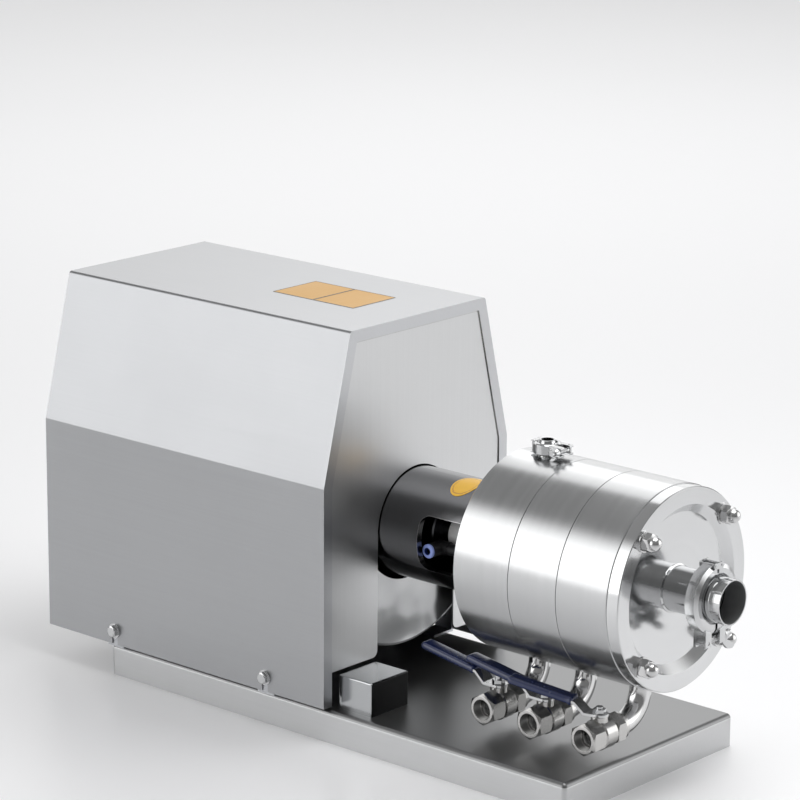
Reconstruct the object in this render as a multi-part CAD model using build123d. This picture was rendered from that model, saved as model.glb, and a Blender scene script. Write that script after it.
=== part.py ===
from build123d import *
import os
from math import cos, pi, radians, sin, tan

# Three-stage inline emulsifying pump: a hooded flange motor drives toothed rotors in a steel barrel.
# Millimetres. +X runs from the motor to the inlet, +Z is up, and -Y is the side with the valve mouths.
# The origin is on the floor, midway along the whole machine, under the pump axis.

os.makedirs("parts", exist_ok=True)

# Overall layout, measured from the hood's front face
hood_length = 454.0
nose_reach = 448.0
front = (hood_length - nose_reach) / 2
rear = front - hood_length
axis_over_deck = 191.4

# Base pan
base_rear_inset = 100.0
base_front_reach = 345.0
base_width = 305.0
base_height = 39.0
base_sheet = 3.0
base_bend = 6.0
base_return = 18.0
stiffener_width = 46.0
stiffener_places = (-250.0, -60.0, 232.0)
shaft_z = base_height + axis_over_deck

# Hood
hood_width = 320.0
hood_top_width = 233.0
hood_top_z = 476.0
hood_break_z = 302.0
hood_deck_gap = 3.0
hood_sheet = 1.5
hood_bend = 5.0
hood_lip = 14.0
panel_foot_z = 82.0
panel_corner = 8.0
slot_gap = 1.6
hood_bolt_places = (-340.0, -92.0)
hood_bolt_z = 59.0
hood_bolt_r = 4.0
hood_bolt_flats = 13.0
hood_washer_r = 9.0
bracket_leg = 36.0
bracket_foot = 34.0
bracket_length = 26.0
louvre_rows = 7
louvre_length = 74.0
louvre_height = 9.0
cover_size = (50.5, 63.0, 40.0)
cover_place = (2.0, -105.5)

# Motor
flange_setback = 46.0
flange_r = 150.0
flange_thick = 14.0
spigot_r = 115.0
spigot_depth = 4.0
flange_bolt_circle_r = 132.5
frame_bore_r = 100.0
frame_r = 120.0
fin_height = 10.0
fin_count = 32
front_shield_length = 44.0
frame_length = 220.0
rear_shield_length = 20.0
cowl_length = 108.0
foot_height = 132.0
foot_spread = 216.0
foot_pitch = 140.0
foot_width = 44.0
foot_pad = 14.0
core_length = 140.0
rotor_core_r = 64.4
stator_core_bore_r = 65.0
motor_shaft_r = 20.0
shaft_end_r = 19.0
shaft_end_length = 80.0
bearing_r = 45.0
bearing_width = 23.0
fan_r = 104.0
fan_blades = 7
terminal_box_size = (104.0, 108.0, 62.0)

# Lantern between motor and barrel
lantern_r = 65.5
lantern_bore_r = 58.0
window_start = 56.0
window_end = 139.0
window_height = 64.0
window_corner = 13.0
cover_hole_r = 72.0
cover_sheet = 2.0
cover_setback = 16.0

# Barrel: back face and the three joints, measured from the hood's front face
barrel_r = 115.5
barrel_back = 151.0
joint_places = (230.0, 297.0, 366.0)
back_wall = 14.0
chamber_r = 82.0
seat_r = 86.0
seal_groove = (88.0, 91.5, 2.6)
cover_r = 114.5
cover_thick = 15.0
cover_plate = 5.0
cover_step_r = 94.0
cover_plate_r = 85.0
stud_circle_r = 100.0
stud_r = 6.0
stud_hole_r = 6.5
cap_nut_flats = 19.0
cap_nut_height = 22.0
stud_washer_r = 12.0
stud_reach = 12.0
washer_thick = 2.5

# Toothed rotors and stators
stator_disc = 8.0
rotor_disc = 8.0
tooth_length = 12.0
tooth_axial_gap = 1.5
tooth_radial_gap = 0.5
tooth_band = 6.0
tooth_inner_r = 44.0
tooth_slot = 5.0
rotor_tooth_counts = (12, 16)
stator_tooth_counts = (14, 18)
stator_eye_r = 34.0
hub_r = 24.0
pump_shaft_r = 14.0
seal_shaft_r = 17.5
sleeve_r = 31.0
sleeve_start = -16.0
sleeve_end = 50.0

# Shaft seal and its flush fitting
seal_housing_r = 38.0
seal_housing_start = 112.0
seal_bore_r = 26.0
seal_spigot_r = 30.0
seal_flange_r = 52.0
elbow_side = -29.5
elbow_drop = 11.9
elbow_x = 61.5
elbow_r = 8.5
elbow_reach = 20.0
elbow_stub = 13.0
nipple_flats = 14.0
nipple_hex = 8.0
flush_port_r = 4.0
collar_r = 8.3
collar_width = 4.0
hose_r = 4.05

# Inlet with its clamp
inlet_r = 25.5
inlet_wall = 1.5
inlet_rim_r = 32.0
inlet_clamp_x = 419.0
inlet_bolt_r = 4.0
inlet_ears = (19.5, 26.0)
outlet_place = 190.0
outlet_r = 8.5
outlet_wall = 1.5
outlet_rim_r = 13.5
outlet_face_over_barrel = 8.0
outlet_stub_length = 8.0
outlet_bolt_r = 2.5
outlet_ears = (7.8, 13.0)
rim_thick = 2.85
rim_cone = 20.0
gasket_thick = 2.0
gasket_inset = 0.5
weld_leg = 2.2

# Drain pipes and ball valves
drain_places = (181.0, 248.0, 324.0)
drain_side = 5.0
drain_r = 12.5
drain_wall = 1.5
drain_bend = 36.0
drain_seat = 9.0
valve_mouth = -97.0
valve_length = 66.0
valve_z = 69.0
valve_flats = 33.0
valve_thread_r = 12.06
valve_thread_depth = 13.0
valve_port_r = 9.5
valve_ball_r = 14.5
valve_stem_back = 29.0
valve_stem_r = 4.0
valve_boss_r = 9.5
valve_boss_height = 21.0
lever_turns = (0.0, 0.0, 14.0)
lever_width = 18.0
lever_thick = 3.0
lever_foot = 16.0
lever_rise = 11.0
lever_root = 28.0
lever_reach = 104.0
lever_tilt = 9.0
grip_length = 80.0
grip_width = 17.0
grip_thick = 7.5

# Clearances
seat_gap = 0.05
running_gap = 0.05
free_gap = 0.3
seal_face_gap = 0.3

shaft_axis = Axis((0, 0, shaft_z), (1, 0, 0))
flange_x = front - flange_setback
AT_FOOT = (Align.CENTER, Align.CENTER, Align.MIN)
written = []


def save(name, *shapes):
    """Write one node: every solid of the given shapes, kept apart."""
    solids = [solid for shape in shapes for solid in shape.solids()]
    export_step(Compound(solids), f"parts/{name}.step")
    written.append((name, len(solids)))


def turned(points, origin=(0, 0, 0), along=(0, 0, 1)):
    """Turn an outline of (distance along, radius) points about a line."""
    outline = Polyline(*[(radius, 0, height) for height, radius in points], close=True)
    return Plane(origin=origin, z_dir=along) * revolve(make_face(outline), axis=Axis.Z)


def on_shaft(points):
    """Turn an outline of (x, radius) points about the pump axis, x from the hood's front face."""
    return turned([(front + x, radius) for x, radius in points], (0, 0, shaft_z), (1, 0, 0))


def ring(x0, x1, outer, inner):
    """Plain ring about the pump axis."""
    return on_shaft([(x0, inner), (x1, inner), (x1, outer), (x0, outer)])


def bar(start, end, radius):
    """Round bar between two points."""
    run = Vector(*end) - Vector(*start)
    return Plane(origin=start, z_dir=run) * Cylinder(radius, run.length, align=AT_FOOT)


def hex_bar(flats, length, origin, along, across=None):
    """Hexagonal bar from a point, with its corners set by the across direction."""
    plane = Plane(origin=origin, z_dir=along, x_dir=across) if across else Plane(origin=origin, z_dir=along)
    return plane * extrude(RegularPolygon(flats / 2, 6, major_radius=False), length)


def block(x0, x1, y0, y1, z0, z1):
    """Box between two corners."""
    size = (x1 - x0, y1 - y0, z1 - z0)
    return Pos((x0 + x1) / 2, (y0 + y1) / 2, (z0 + z1) / 2) * Box(*size)


def around(shape, angles):
    """Copies of a shape turned about the pump axis."""
    return [shape.rotate(shaft_axis, angle) for angle in angles]


def joined(shapes):
    """One solid from shapes that overlap or share a face."""
    shapes = list(shapes)
    return shapes[0].fuse(*shapes[1:]) if len(shapes) > 1 else shapes[0]


STUD_ANGLES = [45 + 90 * corner for corner in range(4)]


def stud_point(x, angle):
    """Point on a stud's centre line."""
    turn = radians(angle)
    return (front + x, stud_circle_r * cos(turn), shaft_z + stud_circle_r * sin(turn))


# Base pan: one folded sheet, open below, with its edges returned inwards to stand on
def base_block(inset, foot, top):
    """Solid of the pan's outline, drawn in by a wall, with the deck's edges rounded."""
    body = block(
        rear + base_rear_inset + inset,
        front + base_front_reach - inset,
        -base_width / 2 + inset,
        base_width / 2 - inset,
        foot,
        top,
    )
    bend = base_bend - inset
    body = fillet(body.edges().filter_by(Axis.Z), bend)
    return fillet(body.faces().sort_by(Axis.Z)[-1].edges(), bend)


def base_pan():
    hollow = base_block(base_sheet, base_sheet, base_height - base_sheet)
    mouth = block(
        rear + base_rear_inset + base_return,
        front + base_front_reach - base_return,
        -base_width / 2 + base_return,
        base_width / 2 - base_return,
        -base_sheet,
        base_height / 2,
    )
    return base_block(0, 0, base_height) - hollow - mouth


def base_stiffeners():
    """Folded channels across the pan, under the motor feet and under the barrel."""
    half = base_width / 2 - base_sheet - free_gap
    top = base_height - base_sheet
    depth = top - base_sheet - free_gap
    for place in stiffener_places:
        x0, x1 = front + place - stiffener_width / 2, front + place + stiffener_width / 2
        channel = block(x0, x1, -half, half, top - depth, top)
        groove = block(
            x0 + base_sheet,
            x1 - base_sheet,
            -half - 1,
            half + 1,
            top - depth - 1,
            top - base_sheet,
        )
        corners = channel.edges().filter_by(Axis.X).group_by(Axis.Z)[-1]
        yield chamfer(corners, base_bend) - groove


# Hood: a bent wrap with a folded lip at each end, and two end panels set behind the lips
hood_foot = base_height + hood_deck_gap


def hood_outline(foot):
    """Outline of the hood across the machine, with its four upper bends rounded."""
    half, top_half = hood_width / 2, hood_top_width / 2
    corners = [
        (half, foot),
        (half, hood_break_z),
        (top_half, hood_top_z),
        (-top_half, hood_top_z),
        (-half, hood_break_z),
        (-half, foot),
    ]
    face = make_face(Polyline(*corners, close=True))
    return fillet(face.vertices().sort_by(Axis.Y)[2:], hood_bend)


def hood_slab(x0, x1, inset=0.0, foot=hood_foot):
    """Solid of the hood's outline, drawn in by a wall, between two places along the machine."""
    face = hood_outline(foot - inset)
    if inset:
        face = offset(face, amount=-inset)
    plane = Plane(origin=(x0, 0, 0), x_dir=(0, 1, 0), z_dir=(1, 0, 0))
    return extrude(plane * face, x1 - x0)


def hood_shell():
    inner = hood_slab(rear + hood_sheet, front - hood_sheet, hood_sheet, hood_foot - 1)
    mouth = hood_slab(rear - 1, front + 1, hood_lip, hood_foot - hood_lip)
    shell = hood_slab(rear, front) - inner - mouth
    for place in hood_bolt_places:
        near = (front + place, -hood_width, hood_bolt_z)
        far = (front + place, hood_width, hood_bolt_z)
        slot = bar(near, far, hood_bolt_r + 0.5)
        slot += block(
            front + place - hood_bolt_r - 0.5,
            front + place + hood_bolt_r + 0.5,
            -hood_width,
            hood_width,
            hood_foot - 1,
            hood_bolt_z,
        )
        shell -= slot
    return shell


def end_panel(x0):
    """Flat end panel that fits inside the wrap, raised clear of the deck."""
    panel = hood_slab(x0, x0 + hood_sheet, hood_sheet + seat_gap)
    below = block(x0 - 1, x0 + hood_sheet + 1, -hood_width, hood_width, hood_foot - hood_sheet - 1, panel_foot_z)
    return panel - below


def hood_front_panel():
    """Panel with the upright slot that lets the hood lift off over the lantern."""
    x0 = front - 2 * hood_sheet
    slot_r = lantern_r + slot_gap
    slot = bar((x0 - 1, 0, shaft_z), (front, 0, shaft_z), slot_r)
    slot += block(x0 - 1, front, -slot_r, slot_r, panel_foot_z - 1, shaft_z)
    panel = end_panel(x0) - slot
    low = panel.edges().filter_by(Axis.X).group_by(Axis.Z)[0]
    slot_corners = [edge for edge in low if abs(edge.center().Y) < slot_r + 1]
    return fillet(slot_corners, panel_corner)


def hood_rear_panel():
    """Panel with pressed air louvres behind the motor's fan."""
    x0 = rear + hood_sheet
    panel = end_panel(x0)
    pitch = 2.4 * louvre_height
    low = shaft_z - pitch * (louvre_rows - 1) / 2
    for row in range(louvre_rows):
        z = low + pitch * row
        for side in (-1, 1):
            y = side * (louvre_length / 2 + louvre_height)
            y0, y1 = y - louvre_length / 2, y + louvre_length / 2
            window = block(x0 - 1, x0 + hood_sheet + 1, y0, y1, z, z + louvre_height)
            lip = Polyline(
                (x0, 0, z + louvre_height),
                (x0 + hood_sheet, 0, z + louvre_height),
                (x0 + louvre_height, 0, z + hood_sheet),
                (x0 + louvre_height - hood_sheet, 0, z),
                close=True,
            )
            blade = Pos(0, y1, 0) * extrude(make_face(lip), louvre_length, dir=(0, -1, 0))
            panel = panel - window + blade
    return panel


def hood_brackets():
    """Angles on the deck that the hood's side bolts screw into."""
    wall = base_sheet
    reach = hood_width / 2 - hood_sheet - free_gap / 2
    for place in hood_bolt_places:
        for side in (-1, 1):
            points = [
                (side * reach, base_height),
                (side * reach, base_height + bracket_leg),
                (side * (reach - wall), base_height + bracket_leg),
                (side * (reach - wall), base_height + wall),
                (side * (reach - bracket_foot), base_height + wall),
                (side * (reach - bracket_foot), base_height),
            ]
            outline = make_face(Polyline(*points, close=True))
            plane = Plane(origin=(front + place - bracket_length / 2, 0, 0), x_dir=(0, 1, 0), z_dir=(1, 0, 0))
            angle = extrude(plane * outline, bracket_length)
            hole = bar(
                (front + place, side * (reach - 2 * wall), hood_bolt_z),
                (front + place, side * (reach + wall), hood_bolt_z),
                hood_bolt_r + seat_gap,
            )
            yield angle - hole


def hood_bolts():
    """Hexagon bolts and wide washers on both sides of the hood."""
    for place in hood_bolt_places:
        for side in (-1, 1):
            out = Vector(0, side, 0)
            seat = Vector(front + place, side * hood_width / 2, hood_bolt_z)
            washer = bar(seat, seat + out * washer_thick * 0.6, hood_washer_r)
            yield washer - bar(seat - out, seat + out * washer_thick, hood_bolt_r + seat_gap)
            head = seat + out * washer_thick * 0.6
            shank = bar(head - out * 14, head, hood_bolt_r)
            hexagon = hex_bar(hood_bolt_flats, 5.3, head, out, (0, 0, 1))
            dome = turned([(-6, 0), (-6, 9), (3.4, 9), (5.3, 5.6), (5.3, 0)], head, out)
            yield shank + (hexagon & dome)


def cable_cover():
    """Small folded cover on the deck, at the hood's near front corner."""
    x0, y = front + cover_place[0], cover_place[1]
    length, width, height = cover_size
    box = block(x0, x0 + length, y - width / 2, y + width / 2, base_height, base_height + height)
    box = fillet(box.edges().filter_by(Axis.Z) + box.edges().group_by(Axis.Z)[-1], 2.0)
    hollow = block(
        x0 + hood_sheet,
        x0 + length - hood_sheet,
        y - width / 2 + hood_sheet,
        y + width / 2 - hood_sheet,
        base_height - 1,
        base_height + height - hood_sheet,
    )
    return box - hollow


# Motor: finned frame on feet, two end shields, wound core, bearings, fan and cowl
motor_face = -flange_setback
frame_x1 = motor_face - front_shield_length
frame_x0 = frame_x1 - frame_length
shield_x0 = frame_x0 - rear_shield_length
motor_end = frame_x0 - cowl_length
foot_x = frame_x1 - frame_length / 2
foot_z = shaft_z - foot_height


def motor_frame():
    """Finned casting, bored right through, with four feet."""
    plane = Plane(origin=(front + frame_x0, 0, shaft_z), x_dir=(0, 1, 0), z_dir=(1, 0, 0))
    section = Circle(frame_r)
    for index in range(fin_count):
        angle = 360 * (index + 0.5) / fin_count
        if abs(angle - 90) > 26 and abs(angle - 270) > 38:
            section += Rot(0, 0, angle) * Pos(frame_r + fin_height / 2 - 1, 0) * Rectangle(fin_height + 2, 3.0)
    top_pad = Pos(0, frame_r) * Rectangle(terminal_box_size[1] - 12, 2 * fin_height)
    body = extrude(plane * (section + top_pad), frame_length)
    body -= ring(frame_x0 - 1, frame_x1 + 1, frame_bore_r, 0)
    half = foot_spread / 2
    outline = [
        (half - 46, -foot_height),
        (half + 28, -foot_height),
        (half + 28, -foot_height + foot_pad),
        (half - 14, -foot_height + foot_pad),
        (half - 14, -62),
        (half - 40, -86),
        (half - 40, -foot_height + foot_pad),
        (half - 46, -foot_height + foot_pad),
    ]
    for shift in (-foot_pitch / 2, foot_pitch / 2):
        for side in (-1, 1):
            web = make_face(Polyline(*[(side * y, z) for y, z in outline], close=True))
            start = Plane(
                origin=(front + foot_x + shift - foot_width / 2, 0, shaft_z), x_dir=(0, 1, 0), z_dir=(1, 0, 0)
            )
            foot = extrude(start * web, foot_width)
            hole = (front + foot_x + shift, side * half, foot_z)
            body += foot - bar((hole[0], hole[1], foot_z - 1), (hole[0], hole[1], foot_z + 30), 6.0)
    return body


def motor_rails():
    """Two folded channels that lift the motor feet to the pump's height."""
    height = foot_z - base_height
    length = foot_pitch + foot_width + 2
    for side in (-1, 1):
        y = side * foot_spread / 2
        x0, x1 = front + foot_x - length / 2, front + foot_x + length / 2
        rail = block(x0, x1, y - 30, y + 30, base_height, foot_z)
        rail = fillet(rail.edges().filter_by(Axis.X).group_by(Axis.Z)[-1], base_bend)
        rail -= block(x0 - 1, x1 + 1, y - 26, y + 26, base_height - 1, base_height + height - 4)
        for shift in (-foot_pitch / 2, foot_pitch / 2):
            x = front + foot_x + shift
            rail -= bar((x, y, foot_z - 10), (x, y, foot_z + 1), 5.1)
        yield rail


def foot_bolts():
    for shift in (-foot_pitch / 2, foot_pitch / 2):
        for side in (-1, 1):
            x, y = front + foot_x + shift, side * foot_spread / 2
            seat = foot_z + foot_pad
            yield bar((x, y, foot_z - 12), (x, y, seat), 5.0) + hex_bar(17, 7, (x, y, seat), (0, 0, 1))


def lantern_bolts():
    """Cap screws that hold the lantern's flange to the motor's flange."""
    for angle in STUD_ANGLES:
        turn = radians(angle)
        y, z = flange_bolt_circle_r * cos(turn), shaft_z + flange_bolt_circle_r * sin(turn)
        seat = flange_x + flange_thick
        head = hex_bar(19, 7.5, (seat, y, z), (1, 0, 0), (0, 0, 1))
        yield head + bar((seat - 2 * flange_thick + 2, y, z), (seat, y, z), 6.0)


def bolt_holes(x0, x1, radius):
    for angle in STUD_ANGLES:
        turn = radians(angle)
        y, z = flange_bolt_circle_r * cos(turn), shaft_z + flange_bolt_circle_r * sin(turn)
        yield bar((front + x0, y, z), (front + x1, y, z), radius)


def motor_front_shield():
    """End shield with the square-faced mounting flange, its spigot and the bearing pocket."""
    face = motor_face
    pocket = face - 8
    body = on_shaft(
        [
            (frame_x1 - 6, frame_bore_r - 8),
            (frame_x1 - 6, frame_bore_r - seat_gap),
            (frame_x1, frame_bore_r - seat_gap),
            (frame_x1, frame_r),
            (face - flange_thick - 8, frame_r - 2),
            (face - flange_thick, frame_r + 8),
            (face - flange_thick, flange_r),
            (face, flange_r),
            (face, spigot_r),
            (face + spigot_depth, spigot_r),
            (face + spigot_depth, spigot_r - 18),
            (face - 2, spigot_r - 24),
            (face - 2, bearing_r + 8),
            (face, bearing_r + 6),
            (face, shaft_end_r + 3),
            (pocket, shaft_end_r + 3),
            (pocket, bearing_r + seat_gap),
            (pocket - bearing_width - 2, bearing_r + seat_gap),
            (pocket - bearing_width - 2, bearing_r + 8),
            (face - 14, bearing_r + 14),
            (face - 14, spigot_r - 30),
            (frame_x1, frame_bore_r - 8),
        ]
    )
    return body - list(bolt_holes(face - flange_thick - 20, face + 1, 6.0))


def motor_rear_shield():
    pocket = shield_x0 + 6
    return on_shaft(
        [
            (shield_x0, motor_shaft_r + 1),
            (shield_x0, frame_r - 12),
            (shield_x0 + 6, frame_r),
            (frame_x0, frame_r),
            (frame_x0, frame_bore_r - seat_gap),
            (frame_x0 + 6, frame_bore_r - seat_gap),
            (frame_x0 + 6, frame_bore_r - 8),
            (frame_x0 - 8, frame_bore_r - 14),
            (frame_x0 - 8, bearing_r + 12),
            (pocket + bearing_width, bearing_r + 8),
            (pocket + bearing_width, bearing_r + seat_gap),
            (pocket, bearing_r + seat_gap),
            (pocket, motor_shaft_r + 1),
        ]
    )


front_bearing_x = motor_face - 8 - bearing_width
rear_bearing_x = shield_x0 + 6


def motor_bearings():
    """Two sealed ball bearings, each as one ring with the side shields' shallow grooves."""
    for x in (front_bearing_x, rear_bearing_x):
        inner = motor_shaft_r + running_gap
        yield on_shaft(
            [
                (x, inner),
                (x, inner + 5),
                (x + 1, inner + 6),
                (x + 1, bearing_r - 6),
                (x, bearing_r - 5),
                (x, bearing_r),
                (x + bearing_width, bearing_r),
                (x + bearing_width, bearing_r - 5),
                (x + bearing_width - 1, bearing_r - 6),
                (x + bearing_width - 1, inner + 6),
                (x + bearing_width, inner + 5),
                (x + bearing_width, inner),
            ]
        )


core_x0 = frame_x0 + (frame_length - core_length) / 2
core_x1 = core_x0 + core_length


def stator_windings():
    """End turns of the winding, bulging from both ends of the core."""
    for x, out in ((core_x0, -1), (core_x1, 1)):
        yield on_shaft(
            [
                (x, stator_core_bore_r + 5),
                (x + out * 24, stator_core_bore_r + 3),
                (x + out * 30, stator_core_bore_r + 10),
                (x + out * 28, frame_bore_r - 12),
                (x, frame_bore_r - 8),
            ]
        )


def motor_shaft():
    """Stepped shaft from the fan to the drive end, with a keyway."""
    end = motor_face + shaft_end_length
    shaft = on_shaft(
        [
            (shield_x0 - 52, 0),
            (shield_x0 - 52, motor_shaft_r - 4),
            (shield_x0 - 8, motor_shaft_r - 4),
            (shield_x0 - 8, motor_shaft_r),
            (rear_bearing_x + bearing_width + 1, motor_shaft_r),
            (rear_bearing_x + bearing_width + 1, motor_shaft_r + 4),
            (front_bearing_x - 1, motor_shaft_r + 4),
            (front_bearing_x - 1, motor_shaft_r),
            (motor_face - 4, motor_shaft_r),
            (motor_face - 4, shaft_end_r),
            (end - 2, shaft_end_r),
            (end, shaft_end_r - 2),
            (end, 0),
        ]
    )
    top = shaft_z + shaft_end_r
    keyway = block(front + end - 56, front + end - 8, -5, 5, top - 5, top + 1)
    return shaft - keyway


def motor_fan():
    """Radial fan with straight blades on a disc."""
    x1 = shield_x0 - 12
    hub = on_shaft(
        [
            (x1 - 34, motor_shaft_r - 4 + seat_gap),
            (x1 - 34, motor_shaft_r + 6),
            (x1 - 6, motor_shaft_r + 14),
            (x1 - 6, fan_r),
            (x1 - 3, fan_r),
            (x1, motor_shaft_r + 14),
            (x1, motor_shaft_r - 4 + seat_gap),
        ]
    )
    blade = block(front + x1 - 34, front + x1 - 4, -1.5, 1.5, shaft_z + motor_shaft_r + 4, shaft_z + fan_r - 2)
    return joined([hub] + around(blade, [360 * n / fan_blades for n in range(fan_blades)]))


def fan_cowl():
    """Pressed cowl over the fan, with a ring of air slots in its end."""
    x1 = shield_x0 + 6
    outer, wall = frame_r + seat_gap + 2.0, 2.0
    cowl = on_shaft(
        [
            (x1, outer - wall),
            (x1, outer),
            (motor_end + 14, outer),
            (motor_end, outer - 16),
            (motor_end, 0),
            (motor_end + wall, 0),
            (motor_end + wall, outer - 17),
            (motor_end + 14.8, outer - wall),
        ]
    )
    for radius in (38.0, 60.0, 82.0):
        slot = Plane(origin=(front + motor_end - 1, 0, shaft_z), x_dir=(0, 1, 0), z_dir=(1, 0, 0)) * extrude(
            SlotArc(CenterArc((0, 0), radius, 12, 66), 7.0), 6
        )
        cowl -= around(slot, [0, 90, 180, 270])
    return cowl


def terminal_box():
    """Cast box on top of the motor, its lid, and the empty cable gland in its side."""
    length, width, height = terminal_box_size
    x = front + foot_x + 30
    z0 = shaft_z + frame_r + fin_height
    z1 = z0 + height
    body = block(x - length / 2, x + length / 2, -width / 2, width / 2, z0, z1 - 12)
    body = fillet(body.edges().filter_by(Axis.Z), 12.0)
    hollow = block(x - length / 2 + 5, x + length / 2 - 5, -width / 2 + 5, width / 2 - 5, z0 + 6, z1)
    entry = (x, -width / 2 + 2.5, z0 + 24)
    body = body - fillet(hollow.edges().filter_by(Axis.Z), 8.0)
    body -= bar((x, -width / 2 - 1, entry[2]), (x, -width / 2 + 6, entry[2]), 9.0)
    lid = block(x - length / 2 - 2, x + length / 2 + 2, -width / 2 - 2, width / 2 + 2, z1 - 12, z1)
    lid = fillet(lid.edges().filter_by(Axis.Z), 12.0)
    lid = chamfer(lid.faces().sort_by(Axis.Z)[-1].edges(), 4.0)
    mouth = (x, -width / 2, entry[2])
    gland = hex_bar(22, 6, mouth, (0, -1, 0), (0, 0, 1))
    gland += bar((x, -width / 2 + 5, entry[2]), mouth, 9.0 - seat_gap)
    nut = turned([(6, 0), (6, 10.5), (14, 10.5), (20, 8), (20, 0)], mouth, (0, -1, 0))
    gland = gland + nut - bar((x, -width / 2 + 6, entry[2]), (x, -width / 2 - 21, entry[2]), 5.5)
    return body, lid, gland


# Lantern and flange cover
def lantern():
    """Turned tube with a bolting flange at the motor and a window in each side."""
    body = on_shaft(
        [
            (motor_face, spigot_r + seat_gap),
            (motor_face, flange_r),
            (motor_face + flange_thick, flange_r),
            (motor_face + flange_thick, lantern_r + 6),
            (motor_face + flange_thick + 6, lantern_r),
            (barrel_back, lantern_r),
            (barrel_back, lantern_bore_r),
            (motor_face + spigot_depth + 1, lantern_bore_r),
            (motor_face + spigot_depth + 1, spigot_r + seat_gap),
        ]
    )
    opening = block(
        front + window_start,
        front + window_end,
        -lantern_r - 1,
        lantern_r + 1,
        shaft_z - window_height / 2,
        shaft_z + window_height / 2,
    )
    opening = fillet(opening.edges().filter_by(Axis.Y), window_corner)
    return body - opening - list(bolt_holes(motor_face - 1, motor_face + flange_thick + 1, 6.5))


def flange_cover():
    """Spun dish that hides the flange bolts, open in the middle round the lantern."""
    face = -cover_setback
    inner = flange_r + free_gap
    outer = inner + cover_sheet
    return on_shaft(
        [
            (face, cover_hole_r),
            (face, outer - 4),
            (face - 1.2, outer - 1.2),
            (face - 4, outer),
            (motor_face + 2, outer),
            (motor_face + 2, inner),
            (face - 4, inner),
            (face - cover_sheet, inner - 2),
            (face - cover_sheet, cover_hole_r),
        ]
    )


# Shaft seal
spigot_end = barrel_back + back_wall


def elbow_point(x, reach=0.0):
    return (front + x, elbow_side - reach, shaft_z - elbow_drop)


def seal_housing():
    """Turned housing of the shaft seal, with the threaded hole for its flush fitting."""
    body = on_shaft(
        [
            (seal_housing_start, seal_bore_r),
            (seal_housing_start, seal_housing_r - 2),
            (seal_housing_start + 2, seal_housing_r),
            (barrel_back - 8, seal_housing_r),
            (barrel_back - 8, seal_flange_r),
            (barrel_back, seal_flange_r),
            (barrel_back, seal_spigot_r),
            (spigot_end, seal_spigot_r),
            (spigot_end, seal_shaft_r + 1),
            (barrel_back - 11, seal_shaft_r + 1),
            (barrel_back - 11, seal_bore_r),
        ]
    )
    return body - bar(elbow_point(seal_housing_start - 1), elbow_point(seal_housing_start + 12), flush_port_r)


def seal_seat():
    return on_shaft(
        [
            (barrel_back - 11, seal_shaft_r + 1.5),
            (barrel_back - 11, seal_bore_r - seat_gap),
            (barrel_back - 20, seal_bore_r - seat_gap),
            (barrel_back - 20, seal_bore_r - 3),
            (barrel_back - 23, seal_bore_r - 3),
            (barrel_back - 23, seal_shaft_r + 1.5),
        ]
    )


def seal_ring():
    """Turning half of the seal: face ring, bellows folds and drive collar."""
    x1 = barrel_back - 23 - seal_face_gap
    inner = seal_shaft_r + seat_gap
    points = [(x1, inner), (x1, seal_bore_r - 3), (x1 - 7, seal_bore_r - 3)]
    for fold in range(2):
        points += [(x1 - 8 - 3 * fold, seal_bore_r - 6), (x1 - 9.5 - 3 * fold, seal_bore_r - 2.5)]
    points += [(x1 - 14, seal_bore_r - 6), (x1 - 14, seal_bore_r - 3.0)]
    points += [(x1 - 20, seal_bore_r - 3.0), (x1 - 20, inner)]
    return on_shaft(points)


def flush_elbow():
    """Push-in elbow with its hose socket facing the near window."""
    body = bar(elbow_point(elbow_x), elbow_point(elbow_x, elbow_reach), elbow_r)
    corner = Pos(*elbow_point(elbow_x)) * Sphere(elbow_r)
    stub = bar(elbow_point(elbow_x), elbow_point(elbow_x + elbow_stub), elbow_r - 0.5)
    return body + corner + stub - bar(elbow_point(elbow_x, 4), elbow_point(elbow_x, elbow_reach + 1), hose_r)


def flush_nipple():
    """Long nipple with a hexagon, screwed into the seal housing and capped by the elbow."""
    hexagon_x = seal_housing_start - nipple_hex
    tube = bar(elbow_point(elbow_x + elbow_stub), elbow_point(hexagon_x), elbow_r - 1.5)
    hexagon = hex_bar(nipple_flats, nipple_hex, elbow_point(hexagon_x), (1, 0, 0), (0, 0, 1))
    thread = bar(elbow_point(seal_housing_start), elbow_point(seal_housing_start + 10), flush_port_r - seat_gap)
    return tube + hexagon + thread


def flush_collar():
    """Release collar round the hose socket, with its outer edges eased."""
    inner = hose_r + free_gap
    outline = [
        (0, inner),
        (0, collar_r - 1),
        (1, collar_r),
        (collar_width - 1, collar_r),
        (collar_width, collar_r - 1),
        (collar_width, inner),
    ]
    return turned(outline, elbow_point(elbow_x, elbow_reach), (0, -1, 0))


# Barrel housings
def drain_socket(place):
    """Seat of a drain pipe and the passage above it, cut up into a chamber."""
    x = front + place
    top = shaft_z - barrel_r + drain_seat
    socket = bar((x, drain_side, 0), (x, drain_side, top), drain_r + seat_gap)
    return socket + bar((x, drain_side, top - 1), (x, drain_side, shaft_z - chamber_r + 20), drain_r - drain_wall)


def stud_holes(x0, x1, radius):
    return [bar(stud_point(x0, angle), stud_point(x1, angle), radius) for angle in STUD_ANGLES]


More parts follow.
